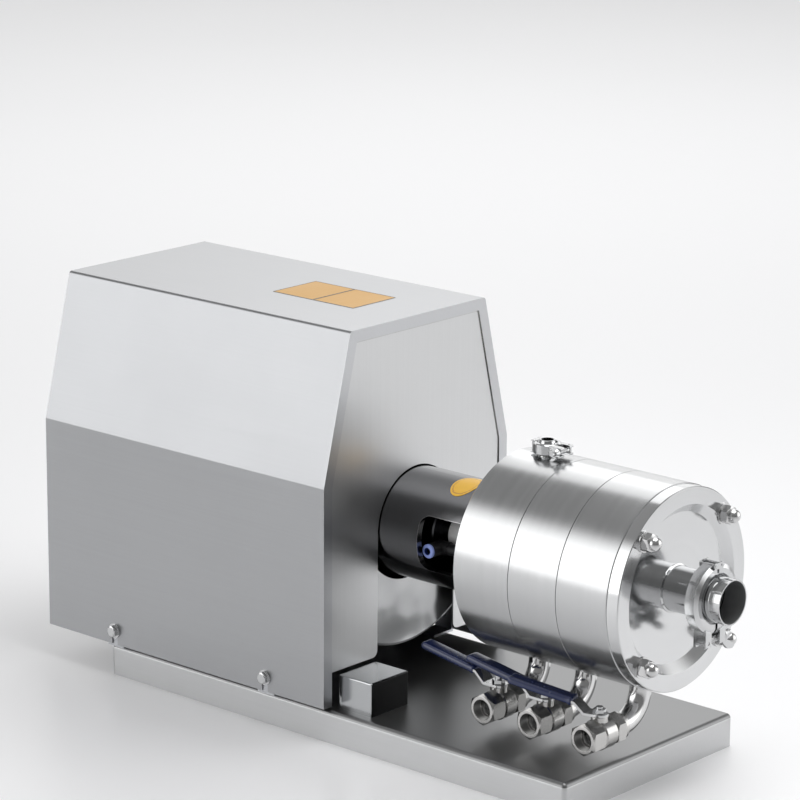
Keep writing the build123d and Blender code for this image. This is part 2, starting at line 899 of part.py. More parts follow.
def housing(x0, x1, place):
    """One stage housing: chamber, stator seat, seal groove, stud holes and drain socket."""
    groove_in, groove_out, groove_depth = seal_groove
    body = on_shaft(
        [
            (x0, chamber_r),
            (x0, barrel_r - 0.6),
            (x0 + 0.6, barrel_r),
            (x1 - 0.6, barrel_r),
            (x1, barrel_r - 0.6),
            (x1, groove_out),
            (x1 - groove_depth, groove_out),
            (x1 - groove_depth, groove_in),
            (x1, groove_in),
            (x1, seat_r),
            (x1 - stator_disc, seat_r),
            (x1 - stator_disc, chamber_r),
        ]
    )
    return body - drain_socket(place) - stud_holes(x0 - 1, x1 + 1, stud_hole_r)


def rear_housing():
    """Rear stage: a cup closed towards the motor, with the outlet on top."""
    groove_in, groove_out, groove_depth = seal_groove
    x0, x1 = barrel_back, joint_places[0]
    body = on_shaft(
        [
            (x0 - 6, seal_flange_r + 1),
            (x0 - 6, lantern_bore_r - seat_gap),
            (x0, lantern_bore_r - seat_gap),
            (x0, barrel_r - 2),
            (x0 + 2, barrel_r),
            (x1 - 0.6, barrel_r),
            (x1, barrel_r - 0.6),
            (x1, groove_out),
            (x1 - groove_depth, groove_out),
            (x1 - groove_depth, groove_in),
            (x1, groove_in),
            (x1, seat_r),
            (x1 - stator_disc, seat_r),
            (x1 - stator_disc, chamber_r),
            (x0 + back_wall, chamber_r),
            (x0 + back_wall, seal_spigot_r + seat_gap),
            (x0, seal_spigot_r + seat_gap),
            (x0, seal_flange_r + 1),
        ]
    )
    low = (front + outlet_place, 0, shaft_z + chamber_r - 20)
    high = (front + outlet_place, 0, shaft_z + barrel_r + 20)
    body -= bar(low, high, outlet_r - outlet_wall)
    return body - drain_socket(drain_places[0]) - stud_holes(x1 - 26, x1 + 1, stud_r + seat_gap)


def housing_seals():
    """Seal rings in the grooves of the three joints."""
    groove_in, groove_out, groove_depth = seal_groove
    for x in joint_places:
        yield ring(x - groove_depth + seat_gap, x - seat_gap, groove_out - seat_gap, groove_in + seat_gap)


def front_cover():
    """Front cover: a heavy ring with a flat plate set back behind a bevel."""
    x0 = joint_places[-1]
    body = on_shaft(
        [
            (x0, inlet_r - inlet_wall),
            (x0, cover_r),
            (x0 + cover_thick - 0.8, cover_r),
            (x0 + cover_thick, cover_r - 0.8),
            (x0 + cover_thick, cover_step_r + 0.8),
            (x0 + cover_thick - 0.8, cover_step_r),
            (x0 + cover_plate, cover_plate_r),
            (x0 + cover_plate, inlet_r - inlet_wall),
        ]
    )
    return body - stud_holes(x0 - 1, x0 + cover_thick + 1, stud_hole_r)


def tie_studs():
    for angle in STUD_ANGLES:
        start = stud_point(joint_places[0] - 24, angle)
        end = stud_point(joint_places[-1] + cover_thick + stud_reach, angle)
        yield bar(start, end, stud_r)


def nut_dome(radius, height, origin, along):
    """Round waist and dome of a cap nut, standing on a point."""
    low = height - radius
    corner = radius * cos(pi / 4)
    outline = Polyline((0, 0, low), (0, 0, 0), (radius, 0, 0), (radius, 0, low))
    arc = ThreePointArc((radius, 0, low), (corner, 0, low + corner), (0, 0, height))
    face = make_face(outline + arc + Line((0, 0, height), (0, 0, low)))
    return Plane(origin=origin, z_dir=along) * revolve(face, axis=Axis.Z)


def cap_nuts():
    """Domed nuts on washers at the front cover."""
    seat_x = joint_places[-1] + cover_thick
    nut_height = cap_nut_height - washer_thick
    hex_height = nut_height * 0.52
    corner_r = cap_nut_flats * 0.58
    for angle in STUD_ANGLES:
        seat = Vector(*stud_point(seat_x, angle))
        along = Vector(1, 0, 0)
        washer = bar(seat, seat + along * washer_thick, stud_washer_r)
        yield washer - bar(seat - along, seat + along * 4, stud_r + seat_gap)
        start = seat + along * washer_thick
        prism = hex_bar(cap_nut_flats, hex_height, start, along, (0, 0, 1))
        crown = [
            (-1, 0),
            (-1, cap_nut_flats / 2 - 2.0),
            (1.8, corner_r),
            (hex_height - 1.8, corner_r),
            (hex_height + 1, cap_nut_flats / 2 - 2.0),
            (hex_height + 1, 0),
        ]
        dome = nut_dome(cap_nut_flats / 2 - 1.6, nut_height, start, along)
        hole = bar(start - along, start + along * (stud_reach - washer_thick + 0.5), stud_r + seat_gap)
        yield (prism & turned(crown, start, along)) + dome - hole


# Toothed stages
def tooth_ring(inner, count, x0, x1):
    """Ring of teeth: a plain band cut through by radial slots."""
    band = ring(x0, x1, inner + tooth_band, inner)
    slot = block(
        front + x0 - 1,
        front + x1 + 1,
        -tooth_slot / 2,
        tooth_slot / 2,
        shaft_z + inner - 2,
        shaft_z + inner + tooth_band + 2,
    )
    return band - around(slot, [360 * n / count for n in range(count)])


def band_radius(index):
    """Inner radius of a tooth band: rotor and stator bands alternate outwards."""
    return tooth_inner_r + index * (tooth_band + tooth_radial_gap)


def stage_stators():
    """Fixed discs, one at each joint, with two rings of teeth towards the motor."""
    for x in joint_places:
        disc = ring(x - stator_disc, x, seat_r - seat_gap, stator_eye_r)
        back = x - stator_disc
        rings = [
            tooth_ring(band_radius(1 + 2 * n), count, back - tooth_length, back)
            for n, count in enumerate(stator_tooth_counts)
        ]
        yield joined([disc] + rings)


def rotor_face(x):
    """Front face of the rotor disc behind the stator at a joint."""
    return x - stator_disc - tooth_length - tooth_axial_gap


def stage_rotors():
    """Turning discs, each with a hub and two rings of teeth that mesh between the stator's."""
    for x in joint_places:
        face = rotor_face(x)
        disc = ring(face - rotor_disc, face, band_radius(3) - tooth_radial_gap, pump_shaft_r + seat_gap)
        hub = ring(face - rotor_disc - 6, face + 8, hub_r, pump_shaft_r + seat_gap)
        rings = [
            tooth_ring(band_radius(2 * n), count, face, x - stator_disc - tooth_axial_gap)
            for n, count in enumerate(rotor_tooth_counts)
        ]
        yield joined([disc, hub] + rings)


hub_backs = [rotor_face(x) - rotor_disc - 6 for x in joint_places]
hub_fronts = [rotor_face(x) + 8 for x in joint_places]
nut_start = hub_fronts[-1]


def shaft_spacers():
    """Two distance sleeves between the rotors, and the slotted nut that clamps them."""
    for x0, x1 in zip(hub_fronts[:-1], hub_backs[1:]):
        yield ring(x0, x1, hub_r - 4, pump_shaft_r + seat_gap)
    nut = hex_bar(32, 9, (front + nut_start, 0, shaft_z), (1, 0, 0), (0, 0, 1))
    yield nut - ring(nut_start - 1, nut_start + 10, pump_shaft_r + seat_gap, 0)


def pump_shaft():
    """Stub shaft with a clamping sleeve bored for the motor's shaft end."""
    bore_end = motor_face + shaft_end_length + 2
    return on_shaft(
        [
            (sleeve_start, shaft_end_r + seat_gap),
            (sleeve_start, sleeve_r - 1.5),
            (sleeve_start + 1.5, sleeve_r),
            (sleeve_end - 1.5, sleeve_r),
            (sleeve_end, sleeve_r - 1.5),
            (sleeve_end, seal_shaft_r),
            (hub_backs[0], seal_shaft_r),
            (hub_backs[0], pump_shaft_r),
            (nut_start + 10, pump_shaft_r),
            (nut_start + 12, pump_shaft_r - 2),
            (nut_start + 12, 0),
            (bore_end, 0),
            (bore_end, shaft_end_r + seat_gap),
        ]
    )


# Clamped pipe ends: a rim with a sloping back on a short tube
def ferrule(tube_r, wall, rim_r, face, end, out):
    """Outline of a rim at the face and a tube that runs to the end; out is +1 or -1."""
    back = face + out * rim_thick
    neck = back + out * (rim_r - tube_r - 1.0) * tan(radians(rim_cone))
    return [
        (face, tube_r - wall),
        (face, rim_r),
        (back, rim_r),
        (neck, tube_r + 1.0),
        (neck + out * 3.0, tube_r),
        (end, tube_r),
        (end, tube_r - wall),
    ]


def clamp_section(rim_r, tube_r):
    """Outline of a clamp ring: a wedge groove over both rims, with rounded shoulders."""
    half_pack = rim_thick + gasket_thick / 2 + free_gap / 2
    slope = tan(radians(rim_cone))
    lip_r = tube_r + 3.0
    groove_half = half_pack + (rim_r + free_gap - lip_r) * slope
    half = groove_half + 0.105 * rim_r
    outer = 1.22 * rim_r
    return [
        (-half, lip_r),
        (-groove_half, lip_r),
        (-half_pack, rim_r + free_gap),
        (half_pack, rim_r + free_gap),
        (groove_half, lip_r),
        (half, lip_r),
        (half, outer - 0.15 * rim_r),
        (half - 0.08 * rim_r, outer),
        (-half + 0.08 * rim_r, outer),
        (-half, outer - 0.15 * rim_r),
    ], half, outer


class Clamp:
    """Two-piece clamp round a pipe joint, in its own frame: pipe along Z, lugs towards +X.

    The swing bolt runs along +Y, from its pivot in the lug at -Y to the wing nut at +Y."""

    def __init__(self, rim_r, tube_r, thread_r, ears, ear_turn, plane):
        self.plane = plane
        self.section, self.half, self.outer = clamp_section(rim_r, tube_r)
        self.thread_r = thread_r
        self.ear_span, self.ear_length = ears
        self.ear_turn = ear_turn
        self.bolt_x = self.outer + thread_r + 5.0
        self.lug_x = self.bolt_x + thread_r + 1.5
        self.lug_y = 1.9 * thread_r
        self.lug_thick = 2.6 * thread_r
        self.pivot_y = -self.lug_y - self.lug_thick / 2
        self.nut_y = self.lug_y + self.lug_thick + 2 * free_gap
        self.gap = 2.0
        self.pin_y = self.gap + 3.5
        self.link_thick = 0.05 * rim_r

    def half_ring(self, side):
        """One half of the ring with its lug, split on the plane of the lugs and the hinge."""
        band = turned(self.section)
        keep = block(-100, 100, min(side * self.gap, side * 100), max(side * self.gap, side * 100), -50, 50)
        y0, y1 = sorted((side * self.lug_y, side * (self.lug_y + self.lug_thick)))
        lug = block(0, self.lug_x, y0, y1, -self.half + 0.5, self.half - 0.5)
        lug = fillet(lug.edges().filter_by(Axis.Y).group_by(Axis.X)[-1], 0.5 * self.thread_r)
        lug -= Cylinder(self.outer - 2.0, 100)
        fork_r = self.thread_r + 0.8
        fork = block(self.bolt_x - fork_r, self.lug_x + 1, y0 - 1, y1 + 1, -fork_r, fork_r)
        return (band & keep) + (lug - fork)

    def hinge(self):
        """Links and two pins that join the halves opposite the lugs, as one riveted piece."""
        x = 1.5 - self.outer
        plates = []
        for z0 in (-self.half - self.link_thick, self.half):
            plate = Pos(x, 0, z0) * extrude(SlotCenterToCenter(2 * self.pin_y, 7.0, rotation=90), self.link_thick)
            plates.append(plate)
        return plates, x

    def solids(self):
        """Fixed pieces of the clamp: both halves, bored for the hinge pins, and the two links."""
        plates, x = self.hinge()
        pin_length = 2 * self.half + 2.6 * self.link_thick
        pins = [Pos(x, side * self.pin_y, 0) * Cylinder(1.8, pin_length) for side in (-1, 1)]
        link = joined(plates + pins)
        holes = [Pos(x, side * self.pin_y, 0) * Cylinder(1.8 + seat_gap, 100) for side in (-1, 1)]
        pivot = Pos(self.bolt_x, self.pivot_y, 0) * Cylinder(self.thread_r * 0.55, 2 * self.half - 2.2)
        pivot_hole = Pos(self.bolt_x, self.pivot_y, 0) * Cylinder(self.thread_r * 0.55 + seat_gap, 100)
        near = self.half_ring(-1) - holes - pivot_hole
        far = self.half_ring(1) - holes
        return [self.plane * solid for solid in (near, far, link, pivot)]

    def bolt(self):
        """Swing bolt: an eye on the pivot and a threaded shank through both forks."""
        eye_r = self.thread_r + 0.6
        thick = 2 * self.thread_r + 0.9
        eye = Pos(self.bolt_x, self.pivot_y, 0) * Cylinder(eye_r, thick)
        tip = (self.bolt_x, self.nut_y + 4.2 * self.thread_r, 0)
        shank = bar((self.bolt_x, self.pivot_y, 0), tip, self.thread_r)
        hole = Pos(self.bolt_x, self.pivot_y, 0) * Cylinder(self.thread_r * 0.55 + running_gap, 100)
        return self.plane * (eye + shank - hole)

    def wing_nut(self):
        """Wing nut: a coned hub and two curved ears that spread outwards."""
        t = self.thread_r
        hub = turned(
            [
                (0, t + running_gap),
                (0, 1.35 * t),
                (0.5 * t, 2.0 * t),
                (0.9 * t, 2.0 * t),
                (2.6 * t, 1.6 * t),
                (2.6 * t, t + running_gap),
            ],
            (self.bolt_x, self.nut_y, 0),
            (0, 1, 0),
        )
        ears = []
        for side in (-1, 1):
            outline = [
                (side * 1.5 * t, 0.7 * t),
                (side * 0.55 * self.ear_span, 0.2 * self.ear_length),
                (side * 0.92 * self.ear_span, 0.5 * self.ear_length),
                (side * self.ear_span, 0.84 * self.ear_length),
                (side * 0.86 * self.ear_span, self.ear_length),
                (side * 0.66 * self.ear_span, 0.86 * self.ear_length),
                (side * 1.5 * t, 2.4 * t),
            ]
            ear = make_face(Polyline(*outline, close=True))
            ear = fillet(ear.vertices().sort_by(Axis.Y)[-4:], 0.3 * t)
            frame = Plane(origin=(self.bolt_x, self.nut_y, -0.4 * t), x_dir=(1, 0, 0), z_dir=(0, 0, 1))
            ears.append(frame * extrude(ear, 0.8 * t))
        core = bar((self.bolt_x, self.nut_y - 1, 0), (self.bolt_x, self.nut_y + 30, 0), t + running_gap)
        nut = joined([hub] + ears) - core
        return self.plane * nut.rotate(Axis((self.bolt_x, 0, 0), (0, 1, 0)), self.ear_turn)


inlet_clamp = Clamp(
    inlet_rim_r,
    inlet_r,
    inlet_bolt_r,
    inlet_ears,
    0.0,
    Plane(origin=(front + inlet_clamp_x, 0, shaft_z), x_dir=(0, 0, -1), z_dir=(1, 0, 0)),
)
outlet_face_z = shaft_z + barrel_r + outlet_face_over_barrel
outlet_clamp = Clamp(
    outlet_rim_r,
    outlet_r,
    outlet_bolt_r,
    outlet_ears,
    90.0,
    Plane(
        origin=(front + outlet_place, 0, outlet_face_z + gasket_thick / 2), x_dir=(1, 0, 0), z_dir=(0, 0, -1)
    ),
)


def inlet_nozzle():
    """Inlet tube with its weld bead at the cover plate and its rim."""
    start = joint_places[-1] + cover_plate
    face = inlet_clamp_x - gasket_thick / 2
    outline = ferrule(inlet_r, inlet_wall, inlet_rim_r, face, start, -1)
    bead = on_shaft(
        [
            (start, inlet_r - 0.5),
            (start, inlet_r + weld_leg),
            (start + 1, inlet_r + 0.9 * weld_leg),
            (start + 1.1 * weld_leg, inlet_r - 0.5),
        ]
    )
    return on_shaft(outline) + bead


def inlet_stub():
    face = inlet_clamp_x + gasket_thick / 2
    return on_shaft(ferrule(inlet_r, inlet_wall, inlet_rim_r, face, nose_reach, 1))


def gasket(rim_r, tube_r, wall):
    """Flat gasket between two rims, as (distance, radius) points about its middle."""
    half = gasket_thick / 2 - seat_gap
    inner, outer = tube_r - wall + gasket_inset, rim_r - 3 * gasket_inset
    return [(-half, inner), (-half, outer), (half, outer), (half, inner)]


def clamp_gaskets():
    yield turned(gasket(inlet_rim_r, inlet_r, inlet_wall), (front + inlet_clamp_x, 0, shaft_z), (1, 0, 0))
    middle = (front + outlet_place, 0, outlet_face_z + gasket_thick / 2)
    yield turned(gasket(outlet_rim_r, outlet_r, outlet_wall), middle, (0, 0, 1))


def outlet_nozzle():
    """Short outlet neck, saddle-cut to the barrel, with its rim."""
    x = front + outlet_place
    outline = ferrule(outlet_r, outlet_wall, outlet_rim_r, outlet_face_z, shaft_z + barrel_r - 8, -1)
    neck = turned(outline, (x, 0, 0), (0, 0, 1))
    return neck - ring(barrel_back, joint_places[0], barrel_r, 0)


def outlet_stub():
    """Loose pipe end held on the outlet by its clamp."""
    face = outlet_face_z + gasket_thick
    outline = ferrule(outlet_r, outlet_wall, outlet_rim_r, face, face + outlet_stub_length, 1)
    return turned(outline, (front + outlet_place, 0, 0), (0, 0, 1))


# Drain pipes and valves
valve_back = valve_mouth + valve_length


def drain_pipe(place):
    """Bent pipe from a valve's back end up into its chamber."""
    x = front + place
    inner = drain_r - drain_wall
    section = Circle(drain_r) - Circle(inner)
    bend_y = drain_side - drain_bend
    lie = extrude(Plane(origin=(x, valve_back - 5, valve_z), z_dir=(0, 1, 0)) * section, bend_y - valve_back + 5)
    elbow = revolve(
        Plane(origin=(x, bend_y, valve_z), z_dir=(0, 1, 0)) * section,
        axis=Axis((x, bend_y, valve_z + drain_bend), (1, 0, 0)),
        revolution_arc=90,
    )
    rise_z = valve_z + drain_bend
    rise = extrude(Plane(origin=(x, drain_side, rise_z)) * section, shaft_z - barrel_r + drain_seat - rise_z)
    return joined([lie, elbow, rise])


def valve_body(place):
    """Two-piece ball valve body: hexagon mouth, round middle, hexagon end cap and stem boss."""
    x = front + place
    mouth = (x, valve_mouth, valve_z)
    into = (0, 1, 0)
    half = valve_flats / 2
    corner = half * 1.16
    mouth_hex = hex_bar(valve_flats, 22, mouth, into, (0, 0, 1))
    crown = [(0, 0), (0, half - 1.2), (3.0, corner), (19, corner), (22, half + 0.3), (22, 0)]
    mouth_hex &= turned(crown, mouth, into)
    middle = turned(
        [(20, 0), (20, half), (22, half), (24, half + 1.2), (41, half + 1.2), (43, half), (45, half), (45, 0)],
        mouth,
        into,
    )
    cap_hex = hex_bar(valve_flats, 14, (x, valve_mouth + 44, valve_z), into, (0, 0, 1))
    crown = [(43, 0), (43, half + 0.3), (45.5, corner), (56, corner), (58, half), (58, 0)]
    cap_hex &= turned(crown, mouth, into)
    neck_r = drain_r + 3.0
    neck = [(57, 0), (57, neck_r), (64, neck_r), (valve_length, neck_r - 1.8), (valve_length, 0)]
    socket = turned(neck, mouth, into)
    stem_y = valve_mouth + valve_stem_back
    boss = bar((x, stem_y, valve_z), (x, stem_y, valve_z + valve_boss_height), valve_boss_r)
    body = joined([mouth_hex, middle, cap_hex, socket, boss])
    body -= bar((x, valve_mouth - 1, valve_z), (x, valve_mouth + valve_thread_depth, valve_z), valve_thread_r)
    body -= bar((x, valve_mouth, valve_z), (x, valve_back, valve_z), valve_port_r)
    body -= bar((x, valve_back - 5.05, valve_z), (x, valve_back + 1, valve_z), drain_r + seat_gap)
    body -= Pos(x, stem_y, valve_z) * Sphere(valve_ball_r + 0.4)
    return body - bar((x, stem_y, valve_z), (x, stem_y, valve_z + 60), valve_stem_r + running_gap)


lever_z = valve_z + valve_boss_height + free_gap
nut_z = lever_z + lever_thick


def stem_axis(place):
    return Axis((front + place, valve_mouth + valve_stem_back, 0), (0, 0, 1))


def valve_stem(place, turn):
    """Ball and stem as one turned piece, bored through the ball, and the nut on the lever."""
    x, y = front + place, valve_mouth + valve_stem_back
    ball = Pos(x, y, valve_z) * Sphere(valve_ball_r)
    ball -= bar((x - 20, y, valve_z), (x + 20, y, valve_z), valve_port_r)
    stem = bar((x, y, valve_z + valve_port_r + 1), (x, y, nut_z + 7.5), valve_stem_r)
    nut = hex_bar(13, 5.0, (x, y, nut_z), (0, 0, 1), (0, 1, 0))
    nut -= bar((x, y, 0), (x, y, 200), valve_stem_r + seat_gap)
    return [solid.rotate(stem_axis(place), turn) for solid in (ball + stem, nut)]


def lever_strip():
    """Side view of the lever as a mitred strip: foot, steep rise and tilted handle."""
    root_z = lever_rise
    tip_run = lever_reach - lever_root - 4
    slope = tan(radians(lever_tilt))
    spine = [
        (10.0, 0.0),
        (-lever_foot, 0.0),
        (-lever_root, root_z),
        (-lever_root - tip_run, root_z + tip_run * slope),
    ]
    below, above = [], []
    for index, point in enumerate(spine):
        before = Vector(*spine[max(index - 1, 0)])
        after = Vector(*spine[min(index + 1, len(spine) - 1)])
        here = Vector(*point)
        first = (here - before).normalized() if index else (after - here).normalized()
        second = (after - here).normalized() if index < len(spine) - 1 else first
        mitre = (first + second).normalized()
        normal = Vector(mitre.Y, -mitre.X)
        lift = lever_thick / (mitre.dot(second))
        below.append(here)
        above.append(here + normal * lift)
    face = make_face(Polyline(*below, *reversed(above), close=True))
    inner = [v for v in face.vertices() if -lever_root - 3 < v.X < 0]
    return fillet(inner, 1.2)


def valve_lever(place, turn):
    """Bent flat lever on the stem, pointing back along the machine when the valve is shut."""
    x, y = front + place, valve_mouth + valve_stem_back
    plane = Plane(origin=(x, y - lever_width / 2, lever_z), x_dir=(1, 0, 0), z_dir=(0, -1, 0))
    strip = extrude(plane * lever_strip(), -lever_width)
    strip = fillet(strip.edges().filter_by(Axis.Z).group_by(Axis.X)[-1], lever_width / 2 - 1)
    strip -= bar((x, y, 0), (x, y, 300), valve_stem_r + seat_gap)
    tilt = radians(lever_tilt)
    root = Vector(x - lever_root - 1.0, y, lever_z + lever_rise + lever_thick / 2 + 0.2)
    along = Vector(-cos(tilt), 0, sin(tilt))
    grip_plane = Plane(origin=root, x_dir=(0, 1, 0), z_dir=along)
    grip = extrude(grip_plane * RectangleRounded(grip_width, grip_thick, grip_thick / 2 - 0.4), grip_length)
    ends = grip.faces().sort_by(Axis.X)
    grip = fillet(ends[0].edges(), 2.6)
    grip = grip - strip
    return [solid.rotate(stem_axis(place), turn) for solid in (strip, grip)]


# Write every piece
save("base_pan", base_pan())
save("base_stiffeners", *base_stiffeners())
save("hood_shell", hood_shell())
save("hood_front_panel", hood_front_panel())
save("hood_rear_panel", hood_rear_panel())
save("hood_brackets", *hood_brackets())
save("hood_bolts", *hood_bolts())
save("cable_cover", cable_cover())

save("motor_frame", motor_frame())
save("motor_rails", *motor_rails())
save("motor_front_shield", motor_front_shield())
save("motor_rear_shield", motor_rear_shield())
save("motor_bearings", *motor_bearings())
save("stator_core", ring(core_x0, core_x1, frame_bore_r - seat_gap, stator_core_bore_r))
save("stator_windings", *stator_windings())
save("fan_cowl", fan_cowl())
save("terminal_box", *terminal_box())
save("motor_shaft", motor_shaft())
save("rotor_core", ring(core_x0, core_x1, rotor_core_r, motor_shaft_r + 4 + seat_gap))
save("motor_fan", motor_fan())

save("lantern", lantern())
save("motor_bolts", *foot_bolts(), *lantern_bolts())
save("flange_cover", flange_cover())
save("seal_housing", seal_housing())
save("seal_seat", seal_seat())
save("seal_ring", seal_ring())
save("flush_elbow", flush_elbow())
save("flush_nipple", flush_nipple())
save("flush_collar", flush_collar())

save("rear_housing", rear_housing())
save("middle_housing", housing(joint_places[0], joint_places[1], drain_places[1]))
save("front_housing", housing(joint_places[1], joint_places[2], drain_places[2]))
save("front_cover", front_cover())
save("tie_studs", *tie_studs())
save("cap_nuts", *cap_nuts())
save("stage_stators", *stage_stators())
save("stage_rotors", *stage_rotors())
save("shaft_spacers", *shaft_spacers())
save("pump_shaft", pump_shaft())

save("inlet_nozzle", inlet_nozzle())
save("loose_stubs", inlet_stub(), outlet_stub())
save("joint_seals", *housing_seals(), *clamp_gaskets())
save("inlet_clamp", *inlet_clamp.solids())
save("inlet_swing_bolt", inlet_clamp.bolt())
save("inlet_wing_nut", inlet_clamp.wing_nut())
save("outlet_nozzle", outlet_nozzle())
save("outlet_clamp", *outlet_clamp.solids())
save("outlet_swing_bolt", outlet_clamp.bolt())
save("outlet_wing_nut", outlet_clamp.wing_nut())

save("drain_pipes", *[drain_pipe(place) for place in drain_places])
save("valve_bodies", *[valve_body(place) for place in drain_places])
for number, (place, turn) in enumerate(zip(drain_places, lever_turns), start=1):
    lever, grip = valve_lever(place, turn)
    save(f"valve_stem_{number}", *valve_stem(place, turn))
    save(f"valve_lever_{number}", lever)
    save(f"lever_grip_{number}", grip)

print(len(written), "nodes,", sum(count for _, count in written), "solids")
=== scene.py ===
# %% [markdown]
# # Inline emulsifying pump
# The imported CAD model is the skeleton. Every node comes in at its real place, in metres, with +X along the
# pump's axis and +Z up. This lesson gives each part its finish, then adds the welds, threads and labels
# that are too fine for the CAD.

from math import atan2, cos, pi, radians, sin, sqrt

import bmesh
import bpy
from mathutils import Matrix, Vector


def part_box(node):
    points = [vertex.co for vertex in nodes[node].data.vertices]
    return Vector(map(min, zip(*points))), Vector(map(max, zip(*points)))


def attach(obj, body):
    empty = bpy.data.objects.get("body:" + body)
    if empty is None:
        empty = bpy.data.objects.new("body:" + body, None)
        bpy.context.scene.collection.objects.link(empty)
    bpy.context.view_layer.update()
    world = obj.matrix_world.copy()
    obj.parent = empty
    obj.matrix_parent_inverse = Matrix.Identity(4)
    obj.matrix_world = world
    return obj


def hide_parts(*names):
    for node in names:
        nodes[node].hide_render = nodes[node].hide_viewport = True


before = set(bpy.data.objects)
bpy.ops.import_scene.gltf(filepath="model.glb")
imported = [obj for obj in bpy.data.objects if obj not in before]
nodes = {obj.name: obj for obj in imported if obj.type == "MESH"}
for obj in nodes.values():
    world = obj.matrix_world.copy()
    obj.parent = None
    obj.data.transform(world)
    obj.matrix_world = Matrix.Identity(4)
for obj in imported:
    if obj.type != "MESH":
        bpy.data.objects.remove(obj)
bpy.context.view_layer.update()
scene = bpy.context.scene

# %% [markdown]
# ## Places that come back often
# The pump's centre line is the middle of the front cover. Reading it from the frame, rather than typing it,
# keeps every later piece on the machine if the CAD changes.

# %% Centre line and faces
MM = 0.001


def middle(node):
    low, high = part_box(node)
    return (low + high) / 2


shaft_z = middle("front_cover").z
shaft = Vector((0, 0, shaft_z))
front_low, front_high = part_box("front_housing")
cover_low, cover_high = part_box("front_cover")
barrel_r = (front_high.y - front_low.y) / 2
cover_r = (cover_high.y - cover_low.y) / 2
hood_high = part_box("hood_shell")[1]
pan_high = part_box("base_pan")[1]
box_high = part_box("cable_cover")[1]
print("shaft height", round(shaft_z, 4), "barrel radius", round(barrel_r, 4))

# %% [markdown]
# ## Shader sums in plain Python
# A material is a graph of nodes, and a long graph is hard to read. The class below holds one socket. Adding
# or multiplying it makes the Math node, and one method makes any other node from its type, its settings
# and its inputs. A finish can then be written the way it would be said.


# %% The socket class
class Sock:
    def __init__(self, tree, socket=None):
        self.tree, self.socket = tree, socket

    def node(self, kind, settings=None, inputs=None, output=0):
        made = self.tree.nodes.new("ShaderNode" + kind)
        for key, value in (settings or {}).items():
            setattr(made, key, value)
        for key, value in (inputs or {}).items():
            if isinstance(value, Sock):
                self.tree.links.new(value.socket, made.inputs[key])
            else:
                made.inputs[key].default_value = value
        return Sock(self.tree, made.outputs[output])

    def maths(self, operation, *values, clamp=False):
        inputs = dict(enumerate(values))
        return self.node("Math", {"operation": operation, "use_clamp": clamp}, inputs)

    def __add__(self, other):
        return self.maths("ADD", self, other)

    def __radd__(self, other):
        return self.maths("ADD", other, self)

    def __sub__(self, other):
        return self.maths("SUBTRACT", self, other)

    def __rsub__(self, other):
        return self.maths("SUBTRACT", other, self)

    def __mul__(self, other):
        return self.maths("MULTIPLY", self, other)

    def __rmul__(self, other):
        return self.maths("MULTIPLY", other, self)

    def __pow__(self, other):
        return self.maths("POWER", self, other)

    def clamped(self):
        return self.maths("ADD", self, 0.0, clamp=True)

    def along(self, direction):
        """How far this vector goes along a fixed direction."""
        return self.node("VectorMath", {"operation": "DOT_PRODUCT"}, {0: self, 1: direction}, output=1)

    def mix(self, low, high):
        """Colour that goes from low to high as this value goes from 0 to 1."""
        sides = [value if isinstance(value, Sock) else (*value, 1) for value in (low, high)]
        return self.node("Mix", {"data_type": "RGBA"}, {0: self, 6: sides[0], 7: sides[1]}, output=2)


# %% [markdown]
# ## A blank finish to start from
# Every finish ends in one Principled shader. Numbers that are the same all over the part go straight onto
# its sockets. Only what changes over the surface is linked.


# %% Start a finish
def blank(name, colour, metallic=1.0, coat=0.0):
    material = bpy.data.materials.new(name)
    material.use_nodes = True
    tree = material.node_tree
    shader = tree.nodes["Principled BSDF"]
    shader.inputs["Base Color"].default_value = (*colour, 1)
    shader.inputs["Metallic"].default_value = metallic
    shader.inputs["Coat Weight"].default_value = coat
    shader.inputs["Coat Roughness"].default_value = 0.1
    material.diffuse_color = (*colour, 1)
    return material, Sock(tree), shader


def connect(sock, shader, name):
    sock.tree.links.new(sock.socket, shader.inputs[name])


def place(start):
    """The point on the part, in metres, as a vector and as its three parts."""
    point = start.node("TexCoord", output=3)
    axes = [point.node("SeparateXYZ", inputs={0: point}, output=axis) for axis in range(3)]
    return point, axes


def clouds(start, point, scale, detail=3.0, roughness=0.5, stretch=None):
    """Noise from 0 to 1, stretched along an axis where its scale there is small."""
    if stretch:
        point = point.node("Mapping", inputs={0: point, 3: stretch})
    inputs = {"Vector": point, "Scale": scale, "Detail": detail, "Roughness": roughness}
    return start.node("TexNoise", {"noise_dimensions": "3D"}, inputs)


def streaks(start, distance, detail):
    """Noise from 0 to 1 along one distance only, which gives rings on a turned part."""
    inputs = {"W": distance, "Scale": 1.0, "Detail": detail}
    return start.node("TexNoise", {"noise_dimensions": "1D"}, inputs)


def scaled(colour, gain):
    return tuple(min(value * gain, 1.0) for value in colour)


def bumped(start, shader, height, strength, distance, edge=0.0, under=None):
    """Bump from a height, over edges eased by a small radius or over another bump where one is given."""
    inputs = {"Strength": strength, "Distance": distance, "Height": height}
    if edge:
        inputs["Normal"] = start.node("Bevel", {"samples": 4}, {"Radius": edge})
    if under:
        inputs["Normal"] = under
    connect(start.node("Bump", inputs=inputs), shader, "Normal")


def painted_edge_highlight(start, radius, gain=5.0):
    """Near 1 on outside and inside corners; mixed into a colour it gives a painted highlight along the edges.
    """
    eased = start.node("Bevel", {"samples": 4}, {"Radius": radius})
    plain = start.node("NewGeometry", output=1)
    same = start.node("VectorMath", {"operation": "DOT_PRODUCT"}, {0: eased, 1: plain}, output=1)
    return ((1.0 - same) * gain).clamped()
